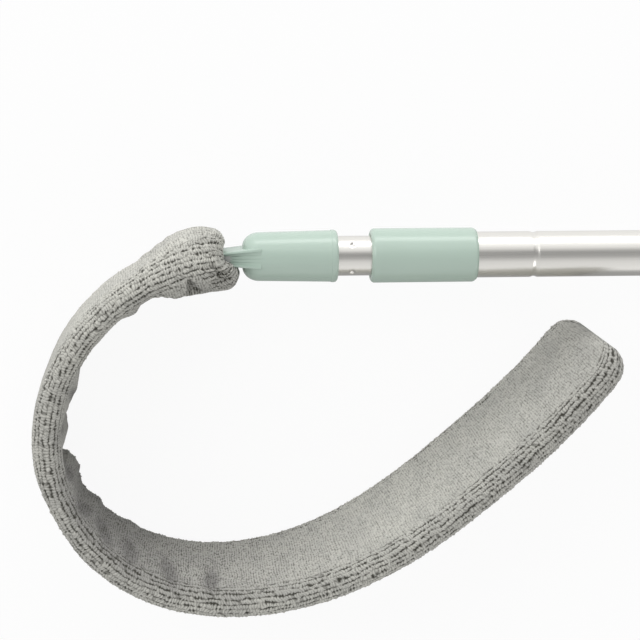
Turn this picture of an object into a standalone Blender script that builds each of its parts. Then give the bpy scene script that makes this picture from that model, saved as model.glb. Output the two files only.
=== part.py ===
"""Telescopic duster: a two-section pole with a bendable fabric head.

The duster lies on its side. Lengths are in metres, angles in degrees, and +Z is up. The pole
runs along X, with the middle of the butt's flat end at the origin and the head towards -X.
The head bends round in the XY plane, standing on the edge of its band.
"""

import bpy
import bmesh
import numpy as np
from math import cos, pi, radians, sin
from mathutils import Matrix, Vector

# Clearances
GAP = 0.0003
OVERRUN = 0.002
WELD_DISTANCE = 0.00001
ROUND_SIDES = 32
SMALL_SIDES = 16

# Outer tube
OUTER_TUBE_RADIUS = 0.0095
OUTER_TUBE_WALL = 0.0007
OUTER_TUBE_LENGTH = 0.4400
STOP_BEAD_FROM_MOUTH = 0.0500
STOP_BEAD_LENGTH = 0.0030

# Inner tube
INNER_TUBE_RADIUS = 0.0082
INNER_TUBE_WALL = 0.0006
INNER_TUBE_SHOWING = 0.0137
DENT_COUNT = 4
DENT_FIRST_ANGLE = 40.5
DENT_DEPTH = 0.0008
DENT_RADIUS = 0.0024
DENT_STEP_SHARES = (-1.0, -0.6, -0.25, 0.25, 0.6, 1.0)
DENT_FROM_NECK = 0.0058

# Pole collar
COLLAR_RADIUS = 0.0113
COLLAR_LENGTH = 0.0438
COLLAR_SEAT = 0.0258
COLLAR_EDGE = 0.0014

# Neck
NECK_MOUTH_RADIUS = 0.0110
NECK_END_RADIUS = 0.0102
NECK_LENGTH = 0.0390
NECK_DOME_RADIUS = 0.0056
NECK_EDGE = 0.0010
NECK_RIM_LENGTH = 0.0026
NECK_RIM_HEIGHT = 0.0002
SOCKET_DEPTH = 0.0140
TONGUE_SHOWING = 0.0067
TONGUE_IN_SLEEVE = 0.0110
MOUTH_RING_SHARES = (0.2, 0.5)
TONGUE_IN_NECK = 0.0072
TONGUE_HEIGHT = 0.0064
TONGUE_WIDTH = 0.0194
TONGUE_SLOT = 0.0030
TONGUE_WEB = 0.0170
TONGUE_EDGE = 0.0006

# Tip plug
SPIGOT_RADIUS = 0.0065
SPIGOT_LENGTH = 0.0145
SPIGOT_LEAD = 0.0015
PLUG_FLANGE = 0.0020
TIP_INSERT_LENGTH = 0.0270
PLUG_GROOVE_DEPTH = 0.0012
PLUG_GROOVE_LENGTH = 0.0060
PLUG_CORE_RADIUS = 0.0042
PLUG_FLOOR = 0.0030

# Cam lock in the tail of the inner tube
CAM_INSERT_LENGTH = 0.0180
CAM_JOURNAL_RADIUS = 0.0050
GUIDE_RING_LENGTH = 0.0060
CAM_PEG_RADIUS = 0.0045
CAM_OFFSET = 0.00045
CAM_RING_RADIUS = 0.0080
CAM_RING_LENGTH = 0.0080
CAM_RING_SLOT = 0.0030
CAM_DISC_RADIUS = 0.0070
CAM_DISC = 0.0020

# Handle grip and end plug
GRIP_LENGTH = 0.1200
GRIP_RADIUS = 0.0130
GRIP_NOSE_RADIUS = 0.0112
GRIP_WAIST_RADIUS = 0.0122
GRIP_EDGE = 0.0020
GRIP_NOSE_SHARES = (0.25, 0.5, 0.75, 1.0)
GRIP_WAIST_SHARES = (0.25, 0.5, 0.75)
END_PLUG_LENGTH = 0.0260
END_PLUG_ROUND = 0.0070
END_PLUG_SPIGOT = 0.0180
HANG_TAB_LENGTH = 0.0190
HANG_TAB_THICKNESS = 0.0110
HANG_HOLE_RADIUS = 0.0040
HANG_HOLE_FROM_BUTT = 0.0105

# Bent head. The bend is the band's heading in the XY plane, at even steps along its length.
HEAD_LENGTH = 0.4112
HEAD_WIDTH = 0.0550
HEAD_THICKNESS = 0.0120
BEND_DEGREES = (182.9, 219.3, 261.8, 309.2, 350.9, 378.3, 395.9, 402.4, 412.3)
TWIST_DEGREES = (0.0, -0.2, -9.8, -18.8, -19.8)
SECTIONS = 12
FIRST_HINGE = 0.0260
RINGS_A_SECTION = 10
CORNER_POINTS = 5
HEAD_STEPS = 800
REST_FLAT = 0.0005

# Gathers at the sleeve's mouth and puckers inside its bend: places along the band, and how
# far each face stands out there
OUTER_PLACES = (0.0, 0.0040, 0.0080, 0.0110, 0.0160, 0.0200, 0.0240, 0.0300, 0.0360)
OUTER_HEIGHTS = (0.0006, 0.0038, 0.0060, 0.0064, 0.0056, 0.0047, 0.0033, 0.0013, 0.0)
INNER_PLACES = (
    0.0, 0.0030, 0.0070, 0.0180, 0.0220, 0.0250, 0.0280, 0.0310, 0.0380, 0.0455, 0.0530,
    0.0650, 0.0740, 0.0790, 0.0870, 0.0930, 0.0990, 0.1060, 0.1110, 0.1180, 0.1250, 0.1310,
    0.1400, 0.1540, 0.1620,
)
INNER_HEIGHTS = (
    0.0030, 0.0050, 0.0055, 0.0050, 0.0043, 0.0034, 0.0016, 0.0002, -0.0001, 0.0015, 0.0,
    0.0009, 0.0002, 0.0003, 0.0033, 0.0027, 0.0001, 0.0008, 0.0002, -0.0020, 0.0002, -0.0005,
    -0.0005, 0.0010, 0.0,
)

# Sleeve ends
MOUTH_REACH = 0.0055
MOUTH_LENGTH = 0.0480
MOUTH_NARROWING = 0.0060
TIP_CORNER = 0.0120
TIP_CORNER_SHARES = (0.0, 0.25, 0.5, 0.72, 0.88, 0.96)
TIP_ROUND = 0.0060
TIP_WALL = 0.0070

# Core inside the sleeve
CORE_WIDTH = 0.0400
CORE_THICKNESS = 0.0024
CORE_HINGE_GAP = 0.0012
CORE_FORK_WIDTH = 0.0170
CORE_FLARE_LENGTH = 0.0140
ELASTIC_WIDTH = 0.0040
ELASTIC_THICKNESS = 0.0010
RIVET_RADIUS = 0.0013
RIVET_HEAD_RADIUS = 0.0022
RIVET_HEAD = 0.0008
RIVET_SPACING = 0.0100
RIVET_FROM_TONGUE_END = 0.0038

# Places along the pole, from the butt towards the head
TUBE_TAIL = -END_PLUG_LENGTH - GAP
TUBE_MOUTH = TUBE_TAIL - OUTER_TUBE_LENGTH
COLLAR_BACK = TUBE_MOUTH + COLLAR_SEAT
COLLAR_FRONT = COLLAR_BACK - COLLAR_LENGTH
NECK_MOUTH = COLLAR_FRONT - INNER_TUBE_SHOWING
NECK_END = NECK_MOUTH - NECK_LENGTH
INNER_HEAD = NECK_MOUTH - SOCKET_DEPTH
HEAD_START = NECK_END - TONGUE_SHOWING
CAM_LENGTH = INNER_TUBE_WALL + GUIDE_RING_LENGTH + CAM_RING_LENGTH + CAM_DISC + GAP * 4
INNER_TAIL = TUBE_TAIL - END_PLUG_SPIGOT - GAP - CAM_LENGTH
OUTER_TUBE_BORE = OUTER_TUBE_RADIUS - OUTER_TUBE_WALL
INNER_TUBE_BORE = INNER_TUBE_RADIUS - INNER_TUBE_WALL

# Finishes: colour, roughness, metallic
MATERIALS = {
    "sage_plastic": ((0.42, 0.51, 0.45), 0.45, 0.0),
    "white_nylon": ((0.78, 0.78, 0.75), 0.50, 0.0),
    "anodised_tube": ((0.80, 0.80, 0.79), 0.35, 1.0),
    "rivet_steel": ((0.62, 0.62, 0.62), 0.30, 1.0),
    "grey_pile": ((0.38, 0.37, 0.34), 0.95, 0.0),
    "grey_elastic": ((0.30, 0.30, 0.29), 0.85, 0.0),
    "core_plastic": ((0.70, 0.72, 0.70), 0.55, 0.0),
}


def clear_scene():
    for item in list(bpy.data.objects):
        bpy.data.objects.remove(item, do_unlink=True)


def make_material(name):
    colour, roughness, metallic = MATERIALS[name]
    material = bpy.data.materials.new(name)
    material.use_nodes = True
    shader = material.node_tree.nodes["Principled BSDF"]
    shader.inputs["Base Color"].default_value = (*colour, 1.0)
    shader.inputs["Roughness"].default_value = roughness
    shader.inputs["Metallic"].default_value = metallic
    material.diffuse_color = (*colour, 1.0)
    return material


def make_object(name, mesh_data, material=None):
    """Link a new object that holds the bmesh, with its faces turned outwards."""
    mesh_data.normal_update()
    bmesh.ops.recalc_face_normals(mesh_data, faces=mesh_data.faces[:])
    mesh = bpy.data.meshes.new(name)
    mesh_data.to_mesh(mesh)
    mesh_data.free()
    mesh.shade_smooth()
    mesh.set_sharp_from_angle(angle=radians(35.0))
    item = bpy.data.objects.new(name, mesh)
    bpy.context.scene.collection.objects.link(item)
    if material:
        mesh.materials.append(bpy.data.materials.get(material) or make_material(material))
    return item


def make_cutter(name, mesh_data):
    item = make_object(name, mesh_data)
    item.hide_render = True
    item.display_type = "WIRE"
    return item


def combine(item, cutter, operation):
    """Join the cutter's shape to the item, or take it away."""
    modifier = item.modifiers.new(operation.title() + "_" + cutter.name, "BOOLEAN")
    modifier.operation = operation
    modifier.solver = "EXACT"
    modifier.object = cutter


def turned(profile, sides=ROUND_SIDES, centre_z=0.0):
    """Spin a profile of (x, radius) points round a line along X."""
    mesh_data = bmesh.new()
    points = [mesh_data.verts.new((x, 0.0, radius)) for x, radius in profile]
    edges = [mesh_data.edges.new(pair) for pair in zip(points, points[1:])]
    on_axis = profile[0][1] == 0 and profile[-1][1] == 0
    if not on_axis:
        edges.append(mesh_data.edges.new((points[-1], points[0])))
    bmesh.ops.spin(
        mesh_data,
        geom=points + edges,
        cent=(0.0, 0.0, 0.0),
        axis=(1.0, 0.0, 0.0),
        dvec=(0.0, 0.0, 0.0),
        angle=2 * pi,
        steps=sides,
        use_merge=True,
    )
    bmesh.ops.remove_doubles(mesh_data, verts=mesh_data.verts[:], dist=WELD_DISTANCE)
    bmesh.ops.translate(mesh_data, verts=mesh_data.verts[:], vec=(0.0, 0.0, centre_z))
    return mesh_data


def ring_profile(start, end, inside, outside):
    """Profile of a plain ring between two places."""
    return [(start, inside), (start, outside), (end, outside), (end, inside)]


def quarter_round(centre_x, centre_radius, radius, first, last, steps=5):
    """Points of a rounded edge in a profile, from one angle to another."""
    angles = np.linspace(radians(first), radians(last), steps)
    return [(centre_x + radius * cos(a), centre_radius + radius * sin(a)) for a in angles]


def box(low, high):
    mesh_data = bmesh.new()
    bmesh.ops.create_cube(mesh_data, size=1.0)
    size = Vector(high) - Vector(low)
    middle = (Vector(high) + Vector(low)) / 2
    bmesh.ops.scale(mesh_data, verts=mesh_data.verts[:], vec=size)
    bmesh.ops.translate(mesh_data, verts=mesh_data.verts[:], vec=middle)
    return mesh_data


def rod(radius, low, high, place, direction):
    """A plain cylinder from low to high along a direction, through a place."""
    mesh_data = bmesh.new()
    bmesh.ops.create_cone(
        mesh_data,
        cap_ends=True,
        segments=SMALL_SIDES,
        radius1=radius,
        radius2=radius,
        depth=high - low,
    )
    turn = Vector(direction).to_track_quat("Z", "Y").to_matrix().to_4x4()
    middle = Vector(place) + Vector(direction) * (high + low) / 2
    mesh_data.transform(Matrix.Translation(middle) @ turn)
    return mesh_data


def skin(rings, closed=False):
    """Join rings of equal counts into a closed surface, with flat ends or round to the start."""
    mesh_data = bmesh.new()
    rows = [[mesh_data.verts.new(point) for point in ring] for ring in rings]
    count = len(rows[0])
    pairs = list(zip(rows, rows[1:]))
    if closed:
        pairs.append((rows[-1], rows[0]))
    for row, after in pairs:
        for i in range(count):
            j = (i + 1) % count
            mesh_data.faces.new((row[i], row[j], after[j], after[i]))
    if not closed:
        mesh_data.faces.new(rows[0])
        mesh_data.faces.new(rows[-1])
    return mesh_data


def smooth_step(share):
    share = min(max(share, 0.0), 1.0)
    return share * share * (3 - 2 * share)


def smooth_table(values, share):
    """Read a table at a share of its length, along a curve with no kinks."""
    last = len(values) - 1
    place = min(max(share, 0.0), 1.0) * last
    index = min(int(place), last - 1)
    part = place - index
    low, high = values[index], values[index + 1]
    before = values[index - 1] if index else 2 * low - high
    after = values[index + 2] if index + 2 <= last else 2 * high - low
    slope_low = (high - before) / 2
    slope_high = (after - low) / 2
    cubed = part ** 3
    squared = part ** 2
    return (
        (2 * cubed - 3 * squared + 1) * low
        + (cubed - 2 * squared + part) * slope_low
        + (3 * squared - 2 * cubed) * high
        + (cubed - squared) * slope_high
    )


def head_path():
    """Places of the band's middle line at even steps, by adding up its heading."""
    step = HEAD_LENGTH / HEAD_STEPS
    places = [Vector((HEAD_START, 0.0, 0.0))]
    for i in range(HEAD_STEPS):
        heading = radians(smooth_table(BEND_DEGREES, (i + 0.5) / HEAD_STEPS))
        places.append(places[-1] + Vector((cos(heading), sin(heading), 0.0)) * step)
    return places


HEAD_PATH = head_path()


def head_frame(along):
    """Middle, heading, inner side and width direction of the band at a length along it."""
    share = min(max(along / HEAD_LENGTH, 0.0), 1.0)
    heading = radians(smooth_table(BEND_DEGREES, share))
    twist = radians(smooth_table(TWIST_DEGREES, share))
    forward = Vector((cos(heading), sin(heading), 0.0))
    inward = Vector((-sin(heading), cos(heading), 0.0))
    upward = Vector((0.0, 0.0, 1.0))
    place = share * HEAD_STEPS
    index = min(int(place), HEAD_STEPS - 1)
    middle = HEAD_PATH[index].lerp(HEAD_PATH[index + 1], place - index)
    middle = middle + forward * (along - share * HEAD_LENGTH)
    width = upward * cos(twist) + inward * sin(twist)
    inner = inward * cos(twist) - upward * sin(twist)
    return middle, forward, inner, width


def core_frame(along):
    """The band's frame, drawn to the tongue's straight line where the tongue holds the core."""
    middle, forward, inner, width = head_frame(along)
    if along > TONGUE_IN_SLEEVE + CORE_FLARE_LENGTH:
        return middle, forward, inner, width
    settled = smooth_step((along - TONGUE_IN_SLEEVE) / CORE_FLARE_LENGTH)
    straight = Vector((HEAD_START - along, 0.0, 0.0))
    forward = Vector((-1.0, 0.0, 0.0)).lerp(forward, settled).normalized()
    inner = Vector((0.0, -1.0, 0.0)).lerp(inner, settled).normalized()
    width = Vector((0.0, 0.0, 1.0)).lerp(width, settled).normalized()
    return straight.lerp(middle, settled), forward, inner, width


def joint_place(number):
    """Length along the band of the hinge before a section; the first section sits on the neck."""
    if number == 0:
        return 0.0
    return FIRST_HINGE + (HEAD_LENGTH - FIRST_HINGE) * (number - 1) / (SECTIONS - 1)


def section_outline(half_width, thick_in, thick_out, corner):
    """Rounded outline as (width, inner side) pairs; the two faces may stand at unlike heights."""
    points = []
    corners = ((1, 1, 0.0), (-1, 1, 90.0), (-1, -1, 180.0), (1, -1, 270.0))
    for side, face, start in corners:
        depth = thick_in if face > 0 else thick_out
        radius = min(corner, half_width, depth)
        for angle in np.linspace(radians(start), radians(start + 90.0), CORNER_POINTS):
            wide = side * (half_width - radius) + radius * cos(angle)
            deep = face * (depth - radius) + radius * sin(angle)
            points.append((wide, deep))
    return points


def height_at(places, heights, along):
    """How far a face stands out at a length along the band, with soft hills and hollows."""
    for i in range(len(places) - 1):
        if along < places[i + 1]:
            part = smooth_step((along - places[i]) / (places[i + 1] - places[i]))
            return heights[i] + (heights[i + 1] - heights[i]) * part
    return heights[-1]


def sleeve_ring(along):
    """Outer ring of the sleeve at a length along the band."""
    middle, forward, inner, width = head_frame(along)
    mouth = 1.0 - smooth_step(along / MOUTH_LENGTH)
    half = HEAD_THICKNESS / 2
    half_width = HEAD_WIDTH / 2 - MOUTH_NARROWING * mouth
    from_tip = HEAD_LENGTH - along
    if from_tip < TIP_CORNER:
        half_width -= TIP_CORNER * (1 - (1 - (1 - from_tip / TIP_CORNER) ** 2) ** 0.5)
    if from_tip < TIP_ROUND:
        half *= (1 - (1 - from_tip / TIP_ROUND) ** 2) ** 0.5
    thick_in = half + height_at(INNER_PLACES, INNER_HEIGHTS, along)
    thick_out = half + height_at(OUTER_PLACES, OUTER_HEIGHTS, along)
    ring = []
    for wide, deep in section_outline(half_width, thick_in, thick_out, max(thick_in, thick_out)):
        reach = MOUTH_REACH * mouth ** 4 * max(0.0, deep / thick_in)
        point = middle + width * wide + inner * deep - forward * reach
        point.z = max(point.z, REST_FLAT - HEAD_WIDTH / 2)
        ring.append(point)
    return ring


def core_half_width(along):
    flare = smooth_step((along - TONGUE_IN_SLEEVE) / CORE_FLARE_LENGTH)
    return (CORE_FORK_WIDTH + (CORE_WIDTH - CORE_FORK_WIDTH) * flare) / 2


def pocket_ring(along):
    """Inner ring of the sleeve, round the core and, near the mouth, the tongue and the elastic."""
    middle, forward, inner, width = core_frame(along)
    past_tongue = smooth_step((along - TONGUE_IN_SLEEVE - GAP) / (CORE_FLARE_LENGTH / 2))
    tongue_deep = TONGUE_HEIGHT / 2 + ELASTIC_THICKNESS + GAP * 2
    tongue_wide = TONGUE_WIDTH / 2 + ELASTIC_THICKNESS + GAP * 2
    core_deep = CORE_THICKNESS / 2 + GAP
    core_wide = core_half_width(along) + GAP
    deep = tongue_deep + (core_deep - tongue_deep) * past_tongue
    wide = max(core_wide, tongue_wide)
    corner = min(deep, core_deep)
    outline = section_outline(wide, deep, deep, corner / 2)
    return [middle + width * w + inner * d for w, d in outline]


def section_span(number):
    """Lengths along the band where a sleeve section starts and ends."""
    start = joint_place(number) + (GAP / 2 if number else 0.0)
    end = joint_place(number + 1) - (GAP / 2 if number < SECTIONS - 1 else 0.0)
    return start, end


def ring_places(number):
    """Lengths along the band of a section's rings, closer together where its pocket flares."""
    start, end = section_span(number)
    if number:
        return list(np.linspace(start, end, RINGS_A_SECTION))
    flare_end = TONGUE_IN_SLEEVE + CORE_FLARE_LENGTH
    mouth_rings = [TONGUE_IN_SLEEVE * share for share in MOUTH_RING_SHARES]
    places = [start] + mouth_rings + [TONGUE_IN_SLEEVE + GAP]
    places += list(np.linspace(TONGUE_IN_SLEEVE, flare_end, 8))[1:]
    return places + [end]


def make_sleeve_section(number):
    places = ring_places(number)
    inner_places = list(places)
    if number == SECTIONS - 1:
        corner_start = HEAD_LENGTH - TIP_CORNER
        places = [place for place in places if place < corner_start]
        places += [corner_start + TIP_CORNER * share for share in TIP_CORNER_SHARES]
        inner_places = [place for place in inner_places if place < HEAD_LENGTH - TIP_WALL]
        inner_places.append(HEAD_LENGTH - TIP_WALL)
    outer = [sleeve_ring(place) for place in places]
    inner = [pocket_ring(place) for place in inner_places]
    if number < SECTIONS - 1:
        mesh_data = skin(outer + inner[::-1], closed=True)
    else:
        mesh_data = skin(outer[::-1] + inner, closed=False)
    return make_object(f"sleeve_{number + 1:02d}", mesh_data, "grey_pile")


def make_core_section(number):
    start = joint_place(number) + CORE_HINGE_GAP / 2
    end = joint_place(number + 1) - CORE_HINGE_GAP / 2
    if number == 0:
        start = -TONGUE_SHOWING / 3
    if number == SECTIONS - 1:
        end = HEAD_LENGTH - TIP_WALL - GAP * 2
    places = [place for place in ring_places(number) if start < place < end]
    rings = []
    for along in [start] + places + [end]:
        middle, forward, inner, width = core_frame(along)
        wide = width * core_half_width(along)
        deep = inner * CORE_THICKNESS / 2
        rings.append([middle + wide + deep, middle - wide + deep,
                      middle - wide - deep, middle + wide - deep])
    item = make_object(f"core_{number + 1:02d}", skin(rings), "core_plastic")
    if number == 0:
        for cutter in rivet_holes("core"):
            combine(item, cutter, "DIFFERENCE")
    return item


def rivet_places():
    x = HEAD_START - TONGUE_IN_SLEEVE + RIVET_FROM_TONGUE_END
    return [Vector((x, 0.0, side * RIVET_SPACING / 2)) for side in (-1, 1)]


def rivet_holes(owner):
    reach = TONGUE_HEIGHT / 2 + OVERRUN
    holes = []
    for number, place in enumerate(rivet_places()):
        mesh_data = rod(RIVET_RADIUS + GAP, -reach, reach, place, (0.0, 1.0, 0.0))
        holes.append(make_cutter(f"cut_{owner}_rivet_{number + 1}", mesh_data))
    return holes


def make_core_rivet(number, place):
    """One of the rivets through the tongue's flanges and the end of the core."""
    seat = TONGUE_HEIGHT / 2 + GAP
    top = seat + RIVET_HEAD
    dome = RIVET_HEAD_RADIUS - RIVET_HEAD / 2
    profile = [
        (-top, 0.0), (-top, dome), (-seat, RIVET_HEAD_RADIUS), (-seat, RIVET_RADIUS),
        (seat, RIVET_RADIUS), (seat, RIVET_HEAD_RADIUS), (top, dome), (top, 0.0),
    ]
    mesh_data = turned(profile, SMALL_SIDES)
    mesh_data.transform(Matrix.Translation(place) @ Matrix.Rotation(pi / 2, 4, "Z"))
    return make_object(f"core_rivet_{number}", mesh_data, "rivet_steel")


def make_sleeve_elastic():
    """Elastic ring in the mouth of the sleeve, round the tongue."""
    start = HEAD_START - GAP
    end = start - ELASTIC_WIDTH
    inner_wide = TONGUE_WIDTH / 2 + GAP
    inner_deep = TONGUE_HEIGHT / 2 + GAP
    rings = []
    for x, grow in ((start, ELASTIC_THICKNESS), (end, ELASTIC_THICKNESS), (end, 0.0), (start, 0.0)):
        corner = ELASTIC_THICKNESS / 2 + grow / 2
        outline = section_outline(inner_wide + grow, inner_deep + grow, inner_deep + grow, corner)
        rings.append([Vector((x, deep, wide)) for wide, deep in outline])
    return make_object("sleeve_elastic", skin(rings, closed=True), "grey_elastic")


def make_neck():
    """Socket with a domed end, and the ribbed tongue that holds the core."""
    dome_x = NECK_END + NECK_DOME_RADIUS
    dome_radius = NECK_END_RADIUS - NECK_DOME_RADIUS
    rim_start = NECK_MOUTH - NECK_RIM_LENGTH
    spigot_end = INNER_HEAD - GAP - PLUG_FLANGE - SPIGOT_LENGTH
    profile = [(NECK_END, 0.0)]
    profile += quarter_round(dome_x, dome_radius, NECK_DOME_RADIUS, 180.0, 90.0, 7)
    profile += [
        (rim_start - NECK_RIM_HEIGHT, NECK_MOUTH_RADIUS - NECK_RIM_HEIGHT),
        (rim_start, NECK_MOUTH_RADIUS),
    ]
    profile += quarter_round(
        NECK_MOUTH - NECK_EDGE, NECK_MOUTH_RADIUS - NECK_EDGE, NECK_EDGE, 90.0, 0.0, 4
    )
    profile += [
        (NECK_MOUTH, INNER_TUBE_RADIUS + GAP),
        (INNER_HEAD - GAP * 2 - PLUG_FLANGE, INNER_TUBE_RADIUS + GAP),
        (INNER_HEAD - GAP * 2 - PLUG_FLANGE, SPIGOT_RADIUS + GAP),
        (spigot_end - GAP, SPIGOT_RADIUS + GAP),
        (spigot_end - GAP, 0.0),
    ]
    neck = make_object("neck", turned(profile), "sage_plastic")
    tongue_end = HEAD_START - TONGUE_IN_SLEEVE
    tongue_root = NECK_END + TONGUE_IN_NECK
    mesh_data = box(
        (tongue_end, -TONGUE_HEIGHT / 2, -TONGUE_WIDTH / 2),
        (tongue_root, TONGUE_HEIGHT / 2, TONGUE_WIDTH / 2),
    )
    bmesh.ops.bevel(
        mesh_data,
        geom=mesh_data.edges[:],
        offset=TONGUE_EDGE,
        offset_type="OFFSET",
        segments=2,
        profile=0.5,
        affect="EDGES",
    )
    combine(neck, make_cutter("cut_tongue", mesh_data), "UNION")
    slot_top = TONGUE_SLOT / 2
    side = TONGUE_WIDTH / 2 + OVERRUN
    groove_end = tongue_root + TONGUE_EDGE
    for name, low, high in (
        ("upper", TONGUE_WEB / 2, side),
        ("lower", -side, -TONGUE_WEB / 2),
    ):
        slot = box((tongue_end - OVERRUN, -slot_top, low), (groove_end, slot_top, high))
        combine(neck, make_cutter("cut_web_" + name, slot), "DIFFERENCE")
    fork_root = HEAD_START + TONGUE_SHOWING / 3 + GAP
    fork = box((tongue_end - OVERRUN, -slot_top, -side), (fork_root, slot_top, side))
    combine(neck, make_cutter("cut_fork", fork), "DIFFERENCE")
    for cutter in rivet_holes("tongue"):
        combine(neck, cutter, "DIFFERENCE")
    return neck


def make_tip_plug():
    """Moulded plug held in the head end of the inner tube by its dents."""
    insert_radius = INNER_TUBE_BORE - GAP
    groove = insert_radius - PLUG_GROOVE_DEPTH
    dent_x = NECK_MOUTH + DENT_FROM_NECK
    flange_back = INNER_HEAD - GAP
    flange_front = flange_back - PLUG_FLANGE
    spigot_end = flange_front - SPIGOT_LENGTH
    insert_end = INNER_HEAD + TIP_INSERT_LENGTH
    half_groove = PLUG_GROOVE_LENGTH / 2
    profile = [
        (spigot_end, 0.0),
        (spigot_end, SPIGOT_RADIUS - SPIGOT_LEAD),
        (spigot_end + SPIGOT_LEAD, SPIGOT_RADIUS),
        (flange_front, SPIGOT_RADIUS),
        (flange_front, INNER_TUBE_RADIUS),
        (flange_back, INNER_TUBE_RADIUS),
        (flange_back, insert_radius),
        (dent_x - half_groove, insert_radius),
        (dent_x - half_groove + PLUG_GROOVE_DEPTH, groove),
        (dent_x + half_groove - PLUG_GROOVE_DEPTH, groove),
        (dent_x + half_groove, insert_radius),
        (insert_end, insert_radius),
        (insert_end, PLUG_CORE_RADIUS),
        (spigot_end + PLUG_FLOOR, PLUG_CORE_RADIUS),
        (spigot_end + PLUG_FLOOR, 0.0),
    ]
    return make_object("tip_plug", turned(profile), "white_nylon")


def make_outer_tube():
    """Plain tube with a rolled bead near its mouth, which stops the guide ring."""
    depth = OUTER_TUBE_BORE - INNER_TUBE_RADIUS - GAP / 2
    bead = TUBE_MOUTH + STOP_BEAD_FROM_MOUTH
    half = STOP_BEAD_LENGTH / 2
    beaded = [(bead - half, 0.0), (bead, depth), (bead + half, 0.0)]
    places = [(TUBE_MOUTH, 0.0)] + beaded + [(TUBE_TAIL, 0.0)]
    profile = [(x, OUTER_TUBE_RADIUS - dip) for x, dip in places]
    profile += [(x, OUTER_TUBE_BORE - dip) for x, dip in reversed(places)]
    return make_object("outer_tube", turned(profile), "anodised_tube")


def make_inner_tube():
    """Thin tube with punched dents over the tip plug's groove."""
    dent_x = NECK_MOUTH + DENT_FROM_NECK
    dent_steps = [dent_x + DENT_RADIUS * share for share in DENT_STEP_SHARES]
    places = [INNER_HEAD] + dent_steps + [INNER_TAIL]
    profile = [(x, INNER_TUBE_RADIUS) for x in places]
    profile += [(x, INNER_TUBE_BORE) for x in reversed(places)]
    mesh_data = turned(profile, ROUND_SIDES + SMALL_SIDES)
    for vert in mesh_data.verts:
        radial = Vector((0.0, vert.co.y, vert.co.z))
        angle = np.degrees(np.arctan2(vert.co.y, vert.co.z))
        turn = 360.0 / DENT_COUNT
        off = (angle - DENT_FIRST_ANGLE + turn / 2) % turn - turn / 2
        around = radians(off) * INNER_TUBE_RADIUS
        away = ((vert.co.x - dent_x) ** 2 + around ** 2) ** 0.5
        depth = DENT_DEPTH * (1.0 - smooth_step(away / DENT_RADIUS))
        vert.co -= radial.normalized() * depth
    return make_object("inner_tube", mesh_data, "anodised_tube")


def make_collar():
    """Moulded collar on the mouth of the outer tube, which guides the inner tube."""
    edge = COLLAR_EDGE
    profile = [(COLLAR_FRONT, INNER_TUBE_RADIUS + GAP)]
    profile += quarter_round(COLLAR_FRONT + edge, COLLAR_RADIUS - edge, edge, 180.0, 90.0)
    profile += quarter_round(COLLAR_BACK - edge, COLLAR_RADIUS - edge, edge, 90.0, 0.0)
    profile += [
        (COLLAR_BACK, OUTER_TUBE_RADIUS + GAP),
        (TUBE_MOUTH - GAP, OUTER_TUBE_RADIUS + GAP),
        (TUBE_MOUTH - GAP, INNER_TUBE_RADIUS + GAP),
    ]
    return make_object("collar", turned(profile), "sage_plastic")


def cam_places():
    """Ends of the guide ring and the cam ring, from the inner tube's tail outwards."""
    guide_start = INNER_TAIL + GAP + INNER_TUBE_WALL + GAP
    guide_end = guide_start + GUIDE_RING_LENGTH
    ring_start = guide_end + GAP
    ring_end = ring_start + CAM_RING_LENGTH
    return guide_start, guide_end, ring_start, ring_end


def make_cam_plug():
    """Plug in the tail of the inner tube, with a journal, an off-centre peg and an end disc."""
    guide_start, guide_end, ring_start, ring_end = cam_places()
    insert_radius = INNER_TUBE_BORE - GAP
    insert_start = INNER_TAIL - CAM_INSERT_LENGTH
    flange_start = INNER_TAIL + GAP
    flange_end = guide_start - GAP
    profile = [
        (insert_start, 0.0),
        (insert_start, insert_radius),
        (flange_start, insert_radius),
        (flange_start, INNER_TUBE_RADIUS),
        (flange_end, INNER_TUBE_RADIUS),
        (flange_end, CAM_JOURNAL_RADIUS),
        (guide_end, CAM_JOURNAL_RADIUS),
        (guide_end, 0.0),
    ]
    plug = make_object("cam_plug", turned(profile), "white_nylon")
    peg = [
        (guide_end - CAM_PEG_RADIUS, 0.0),
        (guide_end - CAM_PEG_RADIUS, CAM_PEG_RADIUS),
        (ring_end + GAP + OVERRUN / 2, CAM_PEG_RADIUS),
        (ring_end + GAP + OVERRUN / 2, 0.0),
    ]
    combine(plug, make_cutter("cut_peg", turned(peg, centre_z=CAM_OFFSET)), "UNION")
    disc_start = ring_end + GAP
    disc = [
        (disc_start, 0.0),
        (disc_start, CAM_DISC_RADIUS),
        (disc_start + CAM_DISC, CAM_DISC_RADIUS),
        (disc_start + CAM_DISC, 0.0),
    ]
    combine(plug, make_cutter("cut_disc", turned(disc)), "UNION")
    return plug


def make_guide_ring():
    start, end, ring_start, ring_end = cam_places()
    profile = ring_profile(start, end, CAM_JOURNAL_RADIUS + GAP, OUTER_TUBE_BORE - GAP)
    return make_object("guide_ring", turned(profile), "white_nylon")


def make_cam_ring():
    """Split ring whose bore is off its centre by as much as the peg."""
    guide_start, guide_end, start, end = cam_places()
    outside = [(start, 0.0), (start, CAM_RING_RADIUS), (end, CAM_RING_RADIUS), (end, 0.0)]
    ring = make_object("cam_ring", turned(outside), "core_plastic")
    bore_radius = CAM_PEG_RADIUS + GAP
    bore = [
        (start - OVERRUN, 0.0), (start - OVERRUN, bore_radius),
        (end + OVERRUN, bore_radius), (end + OVERRUN, 0.0),
    ]
    combine(ring, make_cutter("cut_cam_bore", turned(bore, centre_z=CAM_OFFSET)), "DIFFERENCE")
    half = CAM_RING_SLOT / 2
    slot = box(
        (start - OVERRUN, -half, -CAM_RING_RADIUS - OVERRUN),
        (end + OVERRUN, half, 0.0),
    )
    combine(ring, make_cutter("cut_cam_slot", slot), "DIFFERENCE")
    return ring


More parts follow.
